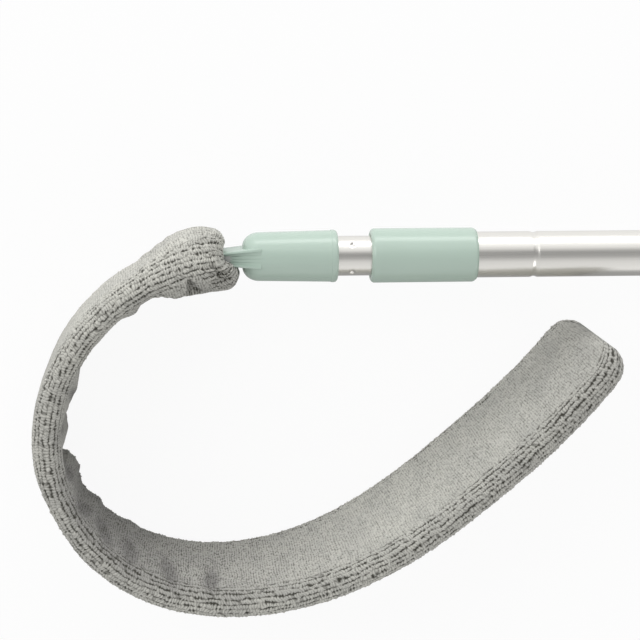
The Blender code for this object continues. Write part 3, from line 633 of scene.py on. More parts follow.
class Sleeve:
    """The pile surface of the sleeve, as a grid of rows along the band and columns round it."""

    # Mouth: reach of the rolled hem, the cloth in it, and the lengths over which it settles
    MOUTH_ROLL = 0.0055
    ROLL_CLOTH = 0.0080
    ROLL_ROWS = 0.0140
    MOUTH_SETTLE = 0.0220
    MOUTH_LENGTH = 0.0480
    MOUTH_NARROWING = 0.0060
    GATHERS_END = 0.0345
    # Across the band: where the puckers past the gathers start to die away, and over how much
    PUCKER_EDGE, PUCKER_FADE = 0.0100, 0.0110
    # Room round the tongue for the lip and for the elastic
    LIP_CLEARANCE = 0.0005
    ELASTIC_CLEARANCE = 0.0020
    # Tip: radius of its corners, rounding of its end, and the lengths that lay out its rows
    TIP_CORNER = 0.0120
    TIP_ROUND = 0.0060
    TIP_ROWS = 0.0090
    # The hollow round the core: half its depth and width, and where it has taken that shape
    POCKET_DEPTH = 0.0020
    POCKET_WIDTH = 0.0215
    POCKET_SETTLE, POCKET_RUN = 0.0110, 0.0140
    # Hinges and the first cut, as lengths along the band, and the table the sleeve lies on
    FIRST_HINGE = 0.0260
    FIRST_CUT = 0.0080
    REST_LEVEL = -0.0270
    # Points round a ring that the even spacing of the columns is worked out from
    FINE_POINTS = 720
    # Pile: its height on the faces and on the rows in millimetres, the share of it that lies
    # level with the cloth, and an offset that makes the far edge differ from the near one
    FACE_DEPTH, ROW_DEPTH, GROUND, FAR_SIDE = 0.45, 1.30, 0.72, 40.0

    def __init__(self, head, neck):
        self.head = head
        self.neck = neck
        self.band = Band(head, neck)
        half = head.band_thickness / 2
        around = 2 * pi * half + 2 * (head.band_width - 2 * half)
        self.columns = int(round(around / head.pile_step / 4)) * 4

    def hinge(self, number):
        """Length along the band of the hinge after a section."""
        first = self.FIRST_HINGE
        return first + (self.head.band_length - first) * (number - 1) / (SECTIONS - 1)

    def cuts(self):
        """Lengths along the band where one piece of the sleeve meets the next."""
        middles = [(self.hinge(n) + self.hinge(n + 1)) / 2 for n in range(1, SECTIONS)]
        return [self.FIRST_CUT] + middles

    def row_lengths(self):
        """Lengths of the rows, close together where the mouth and the tip curl round, and with
        a row on every cut. Returns the lengths and how far the mouth's roll is open there."""
        step = self.head.pile_step
        turn = np.linspace(0.0, pi / 2, int(self.ROLL_ROWS / step))
        rows = [self.MOUTH_ROLL * (1 - np.cos(turn))]
        opened = [np.sin(turn)]
        marks = [self.MOUTH_ROLL] + self.cuts() + [self.head.band_length - self.TIP_ROUND]
        for low, high in zip(marks, marks[1:]):
            count = max(int(round((high - low) / step)), 1)
            rows.append(np.linspace(low, high, count + 1)[1:])
            opened.append(np.ones(count))
        turn = np.linspace(0.0, pi / 2, int(self.TIP_ROWS / step))[1:]
        rows.append(self.head.band_length - self.TIP_ROUND * (1 - np.sin(turn)))
        opened.append(np.ones(len(turn)))
        return np.concatenate(rows), np.concatenate(opened)

    def outline(self, share, half_width, edge, thick_in, thick_out):
        """Width and depth of the outline at shares of the way round it, from the middle of the
        camera's edge by way of the inner face. Each quarter turn and each face is a sixth."""
        marks = np.arange(7) / 6
        angle = np.interp(share, marks, np.array([0, 1, 1, 2, 3, 3, 4]) * (pi / 2))
        slide = np.interp(share, marks, [1, 1, -1, -1, -1, 1, 1])
        wide = slide * (half_width - edge) + edge * np.cos(angle)
        depth = np.where(np.sin(angle) > 0, thick_in, thick_out)
        return wide, depth * np.sin(angle), angle

    def open_outline(self, lengths, share):
        """The sleeve's section at lengths along the band, before the mouth is drawn in."""
        s = lengths[:, None]
        head = self.head
        half = head.band_thickness / 2
        mouth = 1.0 - smooth_step(s / self.MOUTH_LENGTH)
        half_width = head.band_width / 2 - self.MOUTH_NARROWING * mouth
        from_tip = np.clip(head.band_length - s, 0.0, None)
        corner = unit(1 - from_tip / self.TIP_CORNER)
        half_width = half_width - self.TIP_CORNER * (1 - np.sqrt(1 - corner ** 2))
        thin = np.sqrt(1 - unit(1 - from_tip / self.TIP_ROUND) ** 2)
        bulge_in = height_at(INNER_PLACES, INNER_HEIGHTS, s / MILLIMETRE) * MILLIMETRE
        bulge_out = height_at(OUTER_PLACES, OUTER_HEIGHTS, s / MILLIMETRE) * MILLIMETRE
        gathered = s < self.GATHERS_END
        edge = half + np.where(gathered, np.maximum(bulge_in, bulge_out), 0.0)
        edge = np.minimum(edge, half_width)
        wide = self.outline(share, half_width, edge, half, half)[0]
        # The puckers past the gathers die away towards the camera's edge
        fading = 1.0 - smooth_step((wide - self.PUCKER_EDGE) / self.PUCKER_FADE)
        kept = np.where(gathered, 1.0, fading)
        return self.outline(
            share, half_width, edge, (half + bulge_in * kept) * thin, (half + bulge_out) * thin
        ) + (half_width,)

    def spread(self, lengths, opened):
        """Shares of the outline that spread the columns evenly round each ring, and each
        column's distance from the middle of either edge."""
        fine = np.linspace(0.0, 1.0, self.FINE_POINTS + 1)
        wide, deep, _, _ = self.open_outline(lengths, fine[None, :])
        steps = np.hypot(np.diff(wide, axis=1), np.diff(deep, axis=1))
        travelled = np.concatenate([np.zeros((len(lengths), 1)), np.cumsum(steps, axis=1)], axis=1)
        even = np.linspace(0.0, 1.0, self.columns + 1)
        first = int(np.argmax(opened >= 1.0))
        travelled[:first] = travelled[first]
        share = np.stack([np.interp(even * ring[-1], ring, fine) for ring in travelled])
        around = even[None, :] * travelled[:, -1:]
        far = travelled[:, self.FINE_POINTS // 2][:, None]
        near = np.where(around < far, around, around - travelled[:, -1:])
        return share, near / MILLIMETRE, (around - far) / MILLIMETRE

    def surface(self):
        """Points of the smooth surface, and where each lies on the cloth."""
        lengths, opened = self.row_lengths()
        share, near, far = self.spread(lengths, opened)
        wide, deep, angle, half_width = self.open_outline(lengths, share)
        # The mouth's own outline is that of the elastic round the tongue
        grip_wide, grip_deep = self.grip(self.LIP_CLEARANCE)
        k = opened[:, None]
        drawn_wide = between(wide / half_width * grip_wide, wide, k)
        deep = between(np.sin(angle) * grip_deep, deep, np.where(angle > pi, k ** 0.6, k))
        settled = smooth_step(lengths / self.MOUTH_SETTLE)[:, None]
        along = lengths[:, None] + self.lip(angle, k) * (1 - settled)
        middle, _, inner, width = self.band.at(along)
        points = middle + width * drawn_wide[..., None] + inner * deep[..., None]
        travel = lengths - (1 - opened) * self.ROLL_CLOTH
        loops = self.stitched(points, lengths)
        return points, lengths, opened, travel, loops, wide, angle, near, far

    def grip(self, clearance):
        """Half the width and depth of a ring round the tongue."""
        return self.neck.tongue_width / 2 + clearance, self.neck.tongue_height / 2 + clearance

    def stitched(self, points, lengths):
        """Lengths along the cloth itself, which the lip stretches and the roll takes up."""
        steps = np.linalg.norm(np.diff(points, axis=0), axis=-1)
        arc = np.concatenate([np.zeros((1, points.shape[1])), np.cumsum(steps, axis=0)])
        settled = int(np.argmax(lengths >= self.MOUTH_SETTLE))
        from_settled = lengths[settled] - (arc[settled] - arc)
        return np.where(lengths[:, None] < self.MOUTH_SETTLE, from_settled, lengths[:, None])

    def lip(self, angle, opened):
        """How far the lip reaches past the band's start: forward of it on the inner side, and
        tucked back a little where it meets the tongue."""
        below, above = unit(np.sin(angle)), unit(-np.sin(angle))
        tucked = hill(opened, 0.0, 0.22)
        beside = hill(np.sin(angle), -0.35, 0.45)
        held = 0.0014 * (1 - smooth_step(below * 2.5)) + 0.0006 * beside * (1 - tucked)
        reach = 0.0052 * below * (1 - 0.25 * tucked) + 0.0014 * above ** 3 * (1 - tucked)
        return held - reach - 0.0003

    def folds(self, lengths, opened, wide, angle, near):
        """The folds of the gathered mouth, the hollow behind its rolled hem, and the deep crease
        where the hem's lobe meets the next. All lengths here are in millimetres."""
        s, w = lengths[:, None] / MILLIMETRE, wide / MILLIMETRE
        inward = unit(np.sin(angle) * 4)
        turns = near / 4.9 + 0.35 * drift(near / 7, s / 9, 31)
        gather = -0.45 * (1 + np.cos(2 * pi * turns)) * (1 - smooth_step((s - 3) / 13))
        hollow = -2.1 * hill(s, 4.5, 3.4) * hill(near, 6.0, 4.8)
        down = np.clip((22.5 - w) / 5.0, 0.0, 1.5)
        window = smooth_step((w - 10.0) / 3.0) * (1 - smooth_step((w - 21.5) / 1.4))
        crease = -3.4 * hill(s, 17.4 - 0.4 * down, 0.7 + 2.0 * down) * window * inward
        soft = -0.9 * self.creases(lengths, wide) * inward
        return (gather * opened[:, None] + hollow + crease + soft) * MILLIMETRE

    def creases(self, lengths, wide):
        """How deep in a soft crease of the bend a place is, from 0 to 1."""
        s, w = lengths[:, None] / MILLIMETRE, wide / MILLIMETRE
        depth = np.zeros_like(w)
        for number, place in enumerate(CREASE_PLACES):
            lean = 0.25 * (2 * scatter(number + 1.0, 3.0, 41) - 1)
            across = hill(w, 14 - 5 * scatter(number + 1.0, 5.0, 43), 9.0)
            depth = depth + hill(s, place + lean * (w - 12), 3.1) * across
        return unit(depth)

    def pile(self, loops, lengths, near, far):
        """Height of the pile over the smooth surface, and its tone: pale near the loops' tips,
        with painted shade down between the loops and the rows.
        Lengths in this and the next three are in millimetres. The whole number that ends each
        scatter and drift, and that tufts takes third, is its seed."""
        u, s = loops / MILLIMETRE, lengths[:, None] / MILLIMETRE
        by_camera = np.abs(near) < np.abs(far)
        to_edge = np.where(by_camera, near, far)
        side = np.where(by_camera, 0.0, self.FAR_SIDE)
        around = np.where(by_camera, near, far + 2 * self.FAR_SIDE)
        coarse = self.coarseness(u, s, near, to_edge, by_camera, side)
        row_height = self.rows(u, to_edge, side)
        weave, swell, knit = self.faces(u, around)
        face_height = 0.46 + 0.50 * weave * (0.75 + 0.25 * swell)
        share = between(face_height, row_height, coarse) + 0.05 * drift(around / 0.6, u / 0.6, 23)
        height = between(self.FACE_DEPTH, self.ROW_DEPTH, coarse) * (share - self.GROUND)
        # The faces' texture is strongest at the mouth and low in the bend
        strong = 1.0 + 0.7 * np.interp(s, (30, 70, 110, 150, 210, 280), (1.2, 0, 0, 2.1, 1.9, 0.3))
        speckle = drift(around / 0.50, u / 0.55, 23) + 0.5 * drift(around / 0.9, u / 0.4, 27)
        # The faces' tone: paler on the tufts with painted shade between them, with random speckle
        # and the knitted courses
        face_tone = 0.83 + strong * (0.16 * (weave - 0.55) + 0.24 * speckle + 0.62 * knit)
        # The rows' tone follows their height: painted shade in the grooves, between the loops and
        # where loops are missing
        row_tone = smooth_step((row_height - 0.14) / 0.38) + 0.10 * speckle
        return height * MILLIMETRE, between(face_tone, row_tone, coarse)

    def coarseness(self, u, s, near, to_edge, by_camera, side):
        """Where the coarse rows are: they cover the edges, and more of the cloth at the mouth."""
        at_lip = 1 - smooth_step((s - 3) / 8 - 0.45 * (to_edge > 0))
        inner_reach = 9.6 - 7.0 * hill(s, 15, 13) * by_camera
        reach = between(np.where(to_edge > 0, inner_reach, 9.8), 16.0, at_lip)
        reach = reach + 1.2 * drift(u / 3.5 + side, near / 7, 5)
        return 1.0 - smooth_step((np.abs(to_edge) - reach) / 1.6)

    def rows(self, u, to_edge, side):
        """Height of the coarse rows of loops: each row wanders, the grooves between them open
        and close, and the loops lean, differ in size and are missing here and there."""
        pitch = self.head.row_pitch / MILLIMETRE
        wander = 0.55 * drift(u / 6.5 + side, to_edge / pitch, 3)
        wander = wander + 0.34 * drift(u / 1.5 + side, to_edge / pitch * 1.6, 4)
        row = (to_edge + wander) / pitch
        number = np.floor(row + 0.5)
        off = row - number
        gap = number + np.where(off > 0, 0.5, -0.5)
        open_gap = 0.5 + 0.5 * drift(u / 1.3 + gap * 17.3, gap + side, 7)
        open_gap = smooth_step((open_gap - 0.52 + 0.10 * np.sign(to_edge)) / 0.25)
        knot = u / 1.35 + 7.7 * gap
        spot = (scatter(np.floor(knot), gap + side, 33) < 0.40) * np.sin(pi * knot) ** 2
        groove = unit(1.0 - (1 - 2 * np.abs(off)) / (0.34 + 0.46 * spot))
        ridge = 1.0 - groove * (0.18 + 0.72 * np.maximum(open_gap, spot))
        slant = 0.9 * (scatter(number, side, 21) - 0.35)
        beat = u / (self.head.loop_pitch / MILLIMETRE) + scatter(number, side, 9)
        beat = beat + slant * off * 2 + 0.60 * drift(u / 2.1 + number * 5.1, off * 2 + side, 11)
        each, split, gone = (scatter(np.floor(beat), number + side, n) for n in (13, 15, 25))
        bump = unit(0.5 - 0.5 * np.cos(2 * pi * beat)) ** 0.8
        lean = 1.0 - 0.8 * unit(np.abs(off - 0.5 * (split - 0.5)) * 2 - 0.25)
        tip = (0.25 + 0.75 * each) * bump * lean
        return ridge * (0.30 + 0.70 * tip) * (1 - 0.4 * (gone < 0.10) * bump)

    def faces(self, u, around):
        """The finer cloth of the faces: its tufts, its soft swell, and the courses it is knitted
        in."""
        grain = self.head.grain_pitch / MILLIMETRE
        weave = tufts((around + 0.30 * u) / (1.45 * grain), u / (0.85 * grain), 17, 0.7)
        swell = 0.5 + 0.5 * drift(around / 5, u / 5, 19)
        course = u / grain + 0.45 * drift(around / 5, u / 7, 35)
        stitch = around / grain + 0.5 * np.floor(course + 0.5) + 0.4 * drift(around / 3, u / 3, 37)
        knit = (0.5 + 0.5 * np.cos(2 * pi * course)) * (0.65 + 0.35 * np.cos(2 * pi * stitch))
        return weave, swell, (knit - 0.33) * (0.5 + 0.5 * swell)

    def shaped(self):
        """The surface with its pile, as points, with the shares that the material reads."""
        points, lengths, opened, travel, loops, wide, angle, near, far = self.surface()
        height, share = self.pile(loops, lengths, near, far)
        folds = self.folds(lengths, opened, wide, angle, near)
        # Painted shade in the folds, in the hollow behind the hem and in the creases: the pile's
        # tone drops as far as the surface sinks
        share = unit(share + 0.14 * folds / MILLIMETRE)
        # The pile dies away at the tip's seam and inside the lip
        tip = unit((self.head.band_length - lengths) / 0.0030)
        height = self.softened(height) * (tip * unit(opened / 0.25))[:, None]
        for values in (height, share, folds):
            values[:, -1] = values[:, 0]
        for lift in (folds, height):
            points = points + self.normals(points) * lift[..., None]
        points[..., 2] = np.maximum(points[..., 2], self.REST_LEVEL)
        return points, lengths, travel, share, self.nap_and_painted_shade(lengths, angle, wide), near

    def nap_and_painted_shade(self, lengths, angle, wide):
        """How far the pile is drawn towards its shade colour: partly its lean away from the
        camera, most on the inner face low in the bend, and partly painted shade there, in its
        creases and all round the band."""
        s = lengths / MILLIMETRE
        most = np.interp(s, NAP_PLACES, NAP_AND_SHADE_SHARES)[:, None]
        # Painted shade in the soft creases of the bend
        most = most + 0.75 * self.creases(lengths, wide)
        # Painted shade all round the band, deepest at the tip
        everywhere = np.interp(s, ROUND_PLACES, ROUND_PAINTED_SHADE)[:, None]
        lean = everywhere + most * unit(np.sin(angle) * 1.3)
        return np.clip(lean, 0.0, 0.9)

    def softened(self, values):
        """Values evened out a little with those next to them, round the ring and along it."""
        ring = values[:, :-1]
        ring = 0.5 * ring + 0.25 * (np.roll(ring, 1, axis=1) + np.roll(ring, -1, axis=1))
        padded = np.concatenate([ring[:1], ring, ring[-1:]])
        ring = 0.5 * ring + 0.25 * (padded[:-2] + padded[2:])
        return np.concatenate([ring, ring[:, :1]], axis=1)

    def normals(self, points):
        along = np.gradient(points, axis=0)
        across = np.gradient(points, axis=1)
        across[:, 0] = points[:, 1] - points[:, -2]
        across[:, -1] = across[:, 0]
        normal = np.cross(across, along)
        size = np.linalg.norm(normal, axis=-1, keepdims=True)
        normal = normal / np.maximum(size, 1e-12)
        middle = points[:, :-1].mean(axis=1, keepdims=True)
        return -normal if ((points - middle) * normal).sum() < 0 else normal

    def pocket(self, lengths):
        """Rings of the hollow round the core strip."""
        s = np.asarray(lengths, float)[:, None]
        share = np.linspace(0.0, 1.0, self.columns + 1)[None, :]
        grip_wide, grip_deep = self.grip(self.ELASTIC_CLEARANCE)
        settled = smooth_step((s - self.POCKET_SETTLE) / self.POCKET_RUN)
        half_width = between(grip_wide, self.POCKET_WIDTH, settled)
        depth = between(grip_deep, self.POCKET_DEPTH, settled)
        wide, deep, _ = self.outline(share, half_width, depth, depth, depth)
        middle, _, inner, width = self.band.at(s + 0 * wide)
        straight = np.zeros_like(middle)
        straight[..., 0] = self.band.start_x - s
        settled = settled[..., None]
        middle = straight * (1 - settled) + middle * settled
        inner = np.array([0.0, -1.0, 0.0]) * (1 - settled) + inner * settled
        inner = inner / np.linalg.norm(inner, axis=-1, keepdims=True)
        return middle + width * wide[..., None] + inner * deep[..., None]


def wrapped_grid(points, share, nap_and_painted_shade, surface):
    """A bmesh grid laid over rows of points and closed wherever its edges meet."""
    rows, columns = points.shape[:2]
    mesh_data = bmesh.new()
    bmesh.ops.create_grid(mesh_data, x_segments=columns - 1, y_segments=rows - 1, size=0.5)
    # Tone with painted shade between the loops, and the pile's lean with painted shade, both read
    # by the material
    height = mesh_data.verts.layers.float.new("pile_tone_with_painted_shade")
    lean = mesh_data.verts.layers.float.new("pile_nap_and_painted_shade")
    chart = mesh_data.loops.layers.uv.new("band")
    mesh_data.verts.ensure_lookup_table()
    order = {}
    for vert in mesh_data.verts:
        row, column = (vert.co.y + 0.5) * (rows - 1), (vert.co.x + 0.5) * (columns - 1)
        order[vert.index] = (round(row), round(column))
    for face in mesh_data.faces:
        for corner in face.loops:
            corner[chart].uv = surface[order[corner.vert.index]]
    for vert in mesh_data.verts:
        place = order[vert.index]
        vert.co, vert[height], vert[lean] = points[place], share[place], nap_and_painted_shade[place]
    return closed(mesh_data)


# Operators: one for each piece or group of like pieces


class DUSTER_OT_tubes(bpy.types.Operator):
    """Add the outer tube and the dented inner tube"""

    bl_idname = "duster.tubes"
    bl_label = "Tubes"

    # The stop bead: how far behind the mouth, and half its width
    BEAD_PLACE, BEAD_HALF = 0.0500, 0.0018
    # The turn of the first dent about the tube in degrees, and from each to the next
    DENT_TURN, DENT_APART = 40.5, 90.0

    def execute(self, context):
        pole = context.scene.duster_pole
        metal = finish_named("anodised_aluminium")
        outer = add_piece("outer_tube_drawn", self.outer_tube(pole), metal)
        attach(outer, "pole")
        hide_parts("outer_tube")
        inner = add_piece("inner_tube_drawn", self.inner_tube(pole), metal)
        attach(inner, "inner_pole")
        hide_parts("inner_tube")
        return {"FINISHED"}

    def outer_tube(self, pole):
        """The outer tube, with the bead that the guide ring meets rolled into its wall."""
        bore = pole.outer_radius - pole.outer_wall
        edge = pole.outer_wall / 4
        bead = TUBE_MOUTH + self.BEAD_PLACE
        depth = bore - pole.inner_radius - GAP / 2
        waves = [(bead + self.BEAD_HALF * share, depth * (1 + cos(pi * share)) / 2)
                 for share in np.linspace(-1.0, 1.0, 11)]
        profile = [(TUBE_MOUTH, bore + edge), (TUBE_MOUTH, pole.outer_radius - edge)]
        profile += [(TUBE_MOUTH + edge, pole.outer_radius)]
        profile += [(x, pole.outer_radius - dip) for x, dip in waves]
        profile += [(TUBE_TAIL, pole.outer_radius), (TUBE_TAIL, bore)]
        profile += [(x, bore - dip) for x, dip in reversed(waves)]
        profile += [(TUBE_MOUTH + edge, bore)]
        return spun(profile, pole.sides)

    def inner_tube(self, pole):
        """The inner tube, with the dents that hold the tip plug pressed into it."""
        dent_x = NECK_MOUTH + pole.dent_from_neck
        edge = pole.outer_wall / 4
        steps = [dent_x + pole.dent_radius * share for share in np.linspace(-1.2, 1.2, 25)]
        places = [INNER_HEAD + edge] + steps + [INNER_TAIL - edge]
        bore = pole.inner_radius - pole.inner_wall
        profile = [(INNER_HEAD, pole.inner_radius - edge)]
        profile += [(x, pole.inner_radius) for x in places]
        profile += [(INNER_TAIL, pole.inner_radius - edge), (INNER_TAIL, bore)]
        profile += [(x, bore) for x in reversed(steps)]
        profile += [(INNER_HEAD, bore)]
        mesh_data = spun(profile, pole.sides * 2)
        half = self.DENT_APART / 2
        for vert in mesh_data.verts:
            angle = np.degrees(np.arctan2(vert.co.y, vert.co.z))
            off = (angle - self.DENT_TURN + half) % self.DENT_APART - half
            around = radians(off) * pole.inner_radius
            away = ((vert.co.x - dent_x) ** 2 + around ** 2) ** 0.5 / pole.dent_radius
            dip = pole.dent_depth * float(1.0 - smooth_step(away)) ** 1.3
            vert.co -= Vector((0.0, vert.co.y, vert.co.z)).normalized() * dip
        return mesh_data


class DUSTER_OT_collar(bpy.types.Operator):
    """Add the collar on the mouth of the outer tube"""

    bl_idname = "duster.collar"
    bl_label = "Collar"

    def execute(self, context):
        pole = context.scene.duster_pole
        edge = pole.collar_edge
        radius = pole.collar_radius
        lip = edge / 3
        inner = pole.inner_radius + GAP
        outer = pole.outer_radius + GAP
        profile = [(COLLAR_FRONT + lip, inner), (COLLAR_FRONT, inner + lip)]
        profile += rounding(COLLAR_FRONT + edge, radius - edge, edge, 180.0, 90.0, 9)
        profile += rounding(COLLAR_BACK - edge, radius - edge, edge, 90.0, 0.0, 9)
        profile += [(COLLAR_BACK, outer + lip), (COLLAR_BACK - lip, outer)]
        profile += [(TUBE_MOUTH - GAP, outer), (TUBE_MOUTH - GAP, inner)]
        sage = finish_named("moulded_polypropylene")
        collar = add_piece("collar_moulded", spun(profile, pole.sides), sage)
        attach(collar, "pole")
        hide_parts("collar")
        return {"FINISHED"}


class DUSTER_OT_neck(bpy.types.Operator):
    """Add the neck with its domed end and ribbed tongue"""

    bl_idname = "duster.neck"
    bl_label = "Neck"

    # Rounding of the mouth, of the tongue's edges, and of every sharp edge left at the end
    ROUND, TONGUE_ROUND, EDGE_ROUND = 0.0015, 0.0006, 0.00025
    # How far the tongue reaches into the sleeve and into the body, and how much wider it is there
    TONGUE_HIDDEN, TONGUE_ROOT, ROOT_WIDENING = 0.0110, 0.0074, 1.045
    # Cuts in each narrow side: from and to in halves of the tongue's height, and their depth.
    # The first is the channel, and the others are the grooves beside its faint ribs.
    CUTS = ((-0.74, 0.74, 0.0028), (-0.42, -0.34, 0.0034), (-0.04, 0.04, 0.0034),
            (0.34, 0.42, 0.0034))
    # How far a cut starts past the tongue, stops past its root and stands out beside it
    CUT_START, CUT_STOP, CUT_BESIDE, CUT_SPARE = 0.0020, 0.0018, 0.0030, 0.0001

    def execute(self, context):
        pole = context.scene.duster_pole
        neck = context.scene.duster_neck
        sage = finish_named("moulded_polypropylene")
        piece = add_piece("neck_moulded", spun(self.profile(pole, neck), pole.sides), sage)
        self.add_tongue(piece, neck)
        round_edges(piece, self.EDGE_ROUND)
        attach(piece, "neck")
        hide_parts("neck")
        return {"FINISHED"}

    def profile(self, pole, neck):
        """Half the section of the body: domed end, raised rim, and the socket for the plug."""
        end = NECK_MOUTH - neck.body_length
        flat = neck.end_radius - neck.dome_radius
        rim = NECK_MOUTH - neck.rim_length
        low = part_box("tip_plug")[0].x - GAP
        flange = INNER_HEAD - GAP * 2 - FLANGE
        edge = self.ROUND
        profile = [(end, 0.0)]
        for turn in np.linspace(0.0, pi / 2, 17):
            dome_x = end + neck.dome_length * (1 - cos(turn))
            profile.append((dome_x, flat + neck.dome_radius * sin(turn)))
        profile += [
            (rim - neck.rim_height * 2, neck.mouth_radius - neck.rim_height),
            (rim - neck.rim_height, neck.mouth_radius - neck.rim_height),
            (rim, neck.mouth_radius),
        ]
        profile += rounding(NECK_MOUTH - edge, neck.mouth_radius - edge, edge, 90.0, 0.0, 7)
        return profile + [
            (NECK_MOUTH, pole.inner_radius + GAP),
            (flange, pole.inner_radius + GAP),
            (flange, SPIGOT_RADIUS + GAP),
            (low, SPIGOT_RADIUS + GAP),
            (low, 0.0),
        ]

    def add_tongue(self, piece, neck):
        """Join the flared tongue to the body. Each of its narrow sides is a shallow channel with
        faint ribs, which runs out on the body."""
        end = NECK_MOUTH - neck.body_length
        tip = end - neck.tongue_showing - self.TONGUE_HIDDEN
        root_x = end + self.TONGUE_ROOT
        high_z = neck.tongue_width / 2
        start, root = (
            (neck.tongue_height + neck.tongue_flare * (x - end + neck.tongue_showing)) / 2
            for x in (tip, root_x)
        )
        tongue = block((tip, -start, -high_z), (root_x, start, high_z))
        far = [vert for vert in tongue.verts if vert.co.x > end]
        bmesh.ops.scale(tongue, verts=far, vec=(1.0, root / start, self.ROOT_WIDENING))
        bevelled(tongue, self.TONGUE_ROUND, 2)
        carve(piece, tongue, "UNION")
        for side in (-1, 1):
            for low_y, high_y, depth in self.CUTS:
                low_z, top_z = sorted((side * (high_z - depth), side * (high_z + self.CUT_BESIDE)))
                channel = block(
                    (tip - self.CUT_START, low_y * start, low_z),
                    (root_x + self.CUT_STOP, high_y * start, top_z),
                )
                far = [vert for vert in channel.verts if vert.co.x > end]
                bmesh.ops.scale(channel, verts=far, vec=(1.0, root / start, 1.0))
                far = [vert for vert in far if abs(vert.co.z) < high_z]
                rise = side * (neck.end_radius - high_z + depth + self.CUT_SPARE)
                bmesh.ops.translate(channel, verts=far, vec=(0.0, 0.0, rise))
                carve(piece, channel, "DIFFERENCE")


class DUSTER_OT_tip_plug(bpy.types.Operator):
    """Add the plug in the head end of the inner tube, which the neck pushes onto"""

    bl_idname = "duster.tip_plug"
    bl_label = "Tip plug"

    # Rounding of the spigot's end, and the chamfers of the flange and of the inner end
    ROUND, CHAMFER, END_CHAMFER = 0.0015, 0.0002, 0.0004
    # The groove that the tube's dents hold: its depth, and half its width at the floor and top
    GROOVE_DEPTH, GROOVE_FLOOR, GROOVE_TOP = 0.0012, 0.0018, 0.0030
    # Radius of the hollow inside, and how far from the spigot's end it stops
    BORE, BORE_FLOOR = 0.0042, 0.0030

    def execute(self, context):
        pole = context.scene.duster_pole
        low, high = (corner.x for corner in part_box("tip_plug"))
        dent_x = NECK_MOUTH + pole.dent_from_neck
        flange = INNER_HEAD - GAP
        front = flange - FLANGE
        insert = pole.inner_radius - pole.inner_wall - GAP
        waist = insert - self.GROOVE_DEPTH
        edge, cut = self.ROUND, self.CHAMFER
        profile = [(low, 0.0), (low, SPIGOT_RADIUS - edge)]
        profile += rounding(low + edge, SPIGOT_RADIUS - edge, edge, 180.0, 90.0, 7)[1:]
        profile += [
            (front, SPIGOT_RADIUS),
            (front, pole.inner_radius - cut),
            (front + cut, pole.inner_radius),
            (flange - cut, pole.inner_radius),
            (flange, pole.inner_radius - cut),
            (flange, insert),
            (dent_x - self.GROOVE_TOP, insert),
            (dent_x - self.GROOVE_FLOOR, waist),
            (dent_x + self.GROOVE_FLOOR, waist),
            (dent_x + self.GROOVE_TOP, insert),
            (high - self.END_CHAMFER, insert),
            (high, insert - self.END_CHAMFER),
            (high, self.BORE),
            (low + self.BORE_FLOOR, self.BORE),
            (low + self.BORE_FLOOR, 0.0),
        ]
        nylon = finish_named("moulded_nylon")
        plug = add_piece("tip_plug_moulded", spun(profile, pole.sides), nylon)
        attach(plug, "inner_pole")
        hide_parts("tip_plug")
        return {"FINISHED"}


class DUSTER_OT_elastic(bpy.types.Operator):
    """Add the ribbed elastic that draws the sleeve's mouth in round the tongue"""

    bl_idname = "duster.elastic"
    bl_label = "Elastic"

    # The ring sits deeper in the mouth than its solid, so that the lip can roll over it
    DEEPER = 0.0016
    # Number of ribs, how far each laps the next, its rounding as a share of it, and the wall
    RIBS, LAP, RIB_ROUND, WALL = 4, 1.04, 0.3, 0.0010

    def execute(self, context):
        low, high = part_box("sleeve_elastic")
        low.x, high.x = low.x - self.DEEPER, high.x - self.DEEPER
        pitch = (high.x - low.x) / self.RIBS
        ribs = []
        for number in range(self.RIBS):
            start = low.x + pitch * number
            end = start + pitch * self.LAP
            edge = pitch * self.RIB_ROUND
            ribs.append(block((start, low.y, low.z), (end, high.y, high.z), edge, 3))
        elastic = add_piece("elastic_ribbed", ribs[0], finish_named("knitted_elastic"))
        for rib in ribs[1:]:
            carve(elastic, rib, "UNION")
        wall = Vector((-self.WALL, self.WALL, self.WALL))
        carve(elastic, block(low + wall, high - wall, 0.0003, 2), "DIFFERENCE")
        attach(elastic, "neck")
        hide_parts("sleeve_elastic")
        return {"FINISHED"}


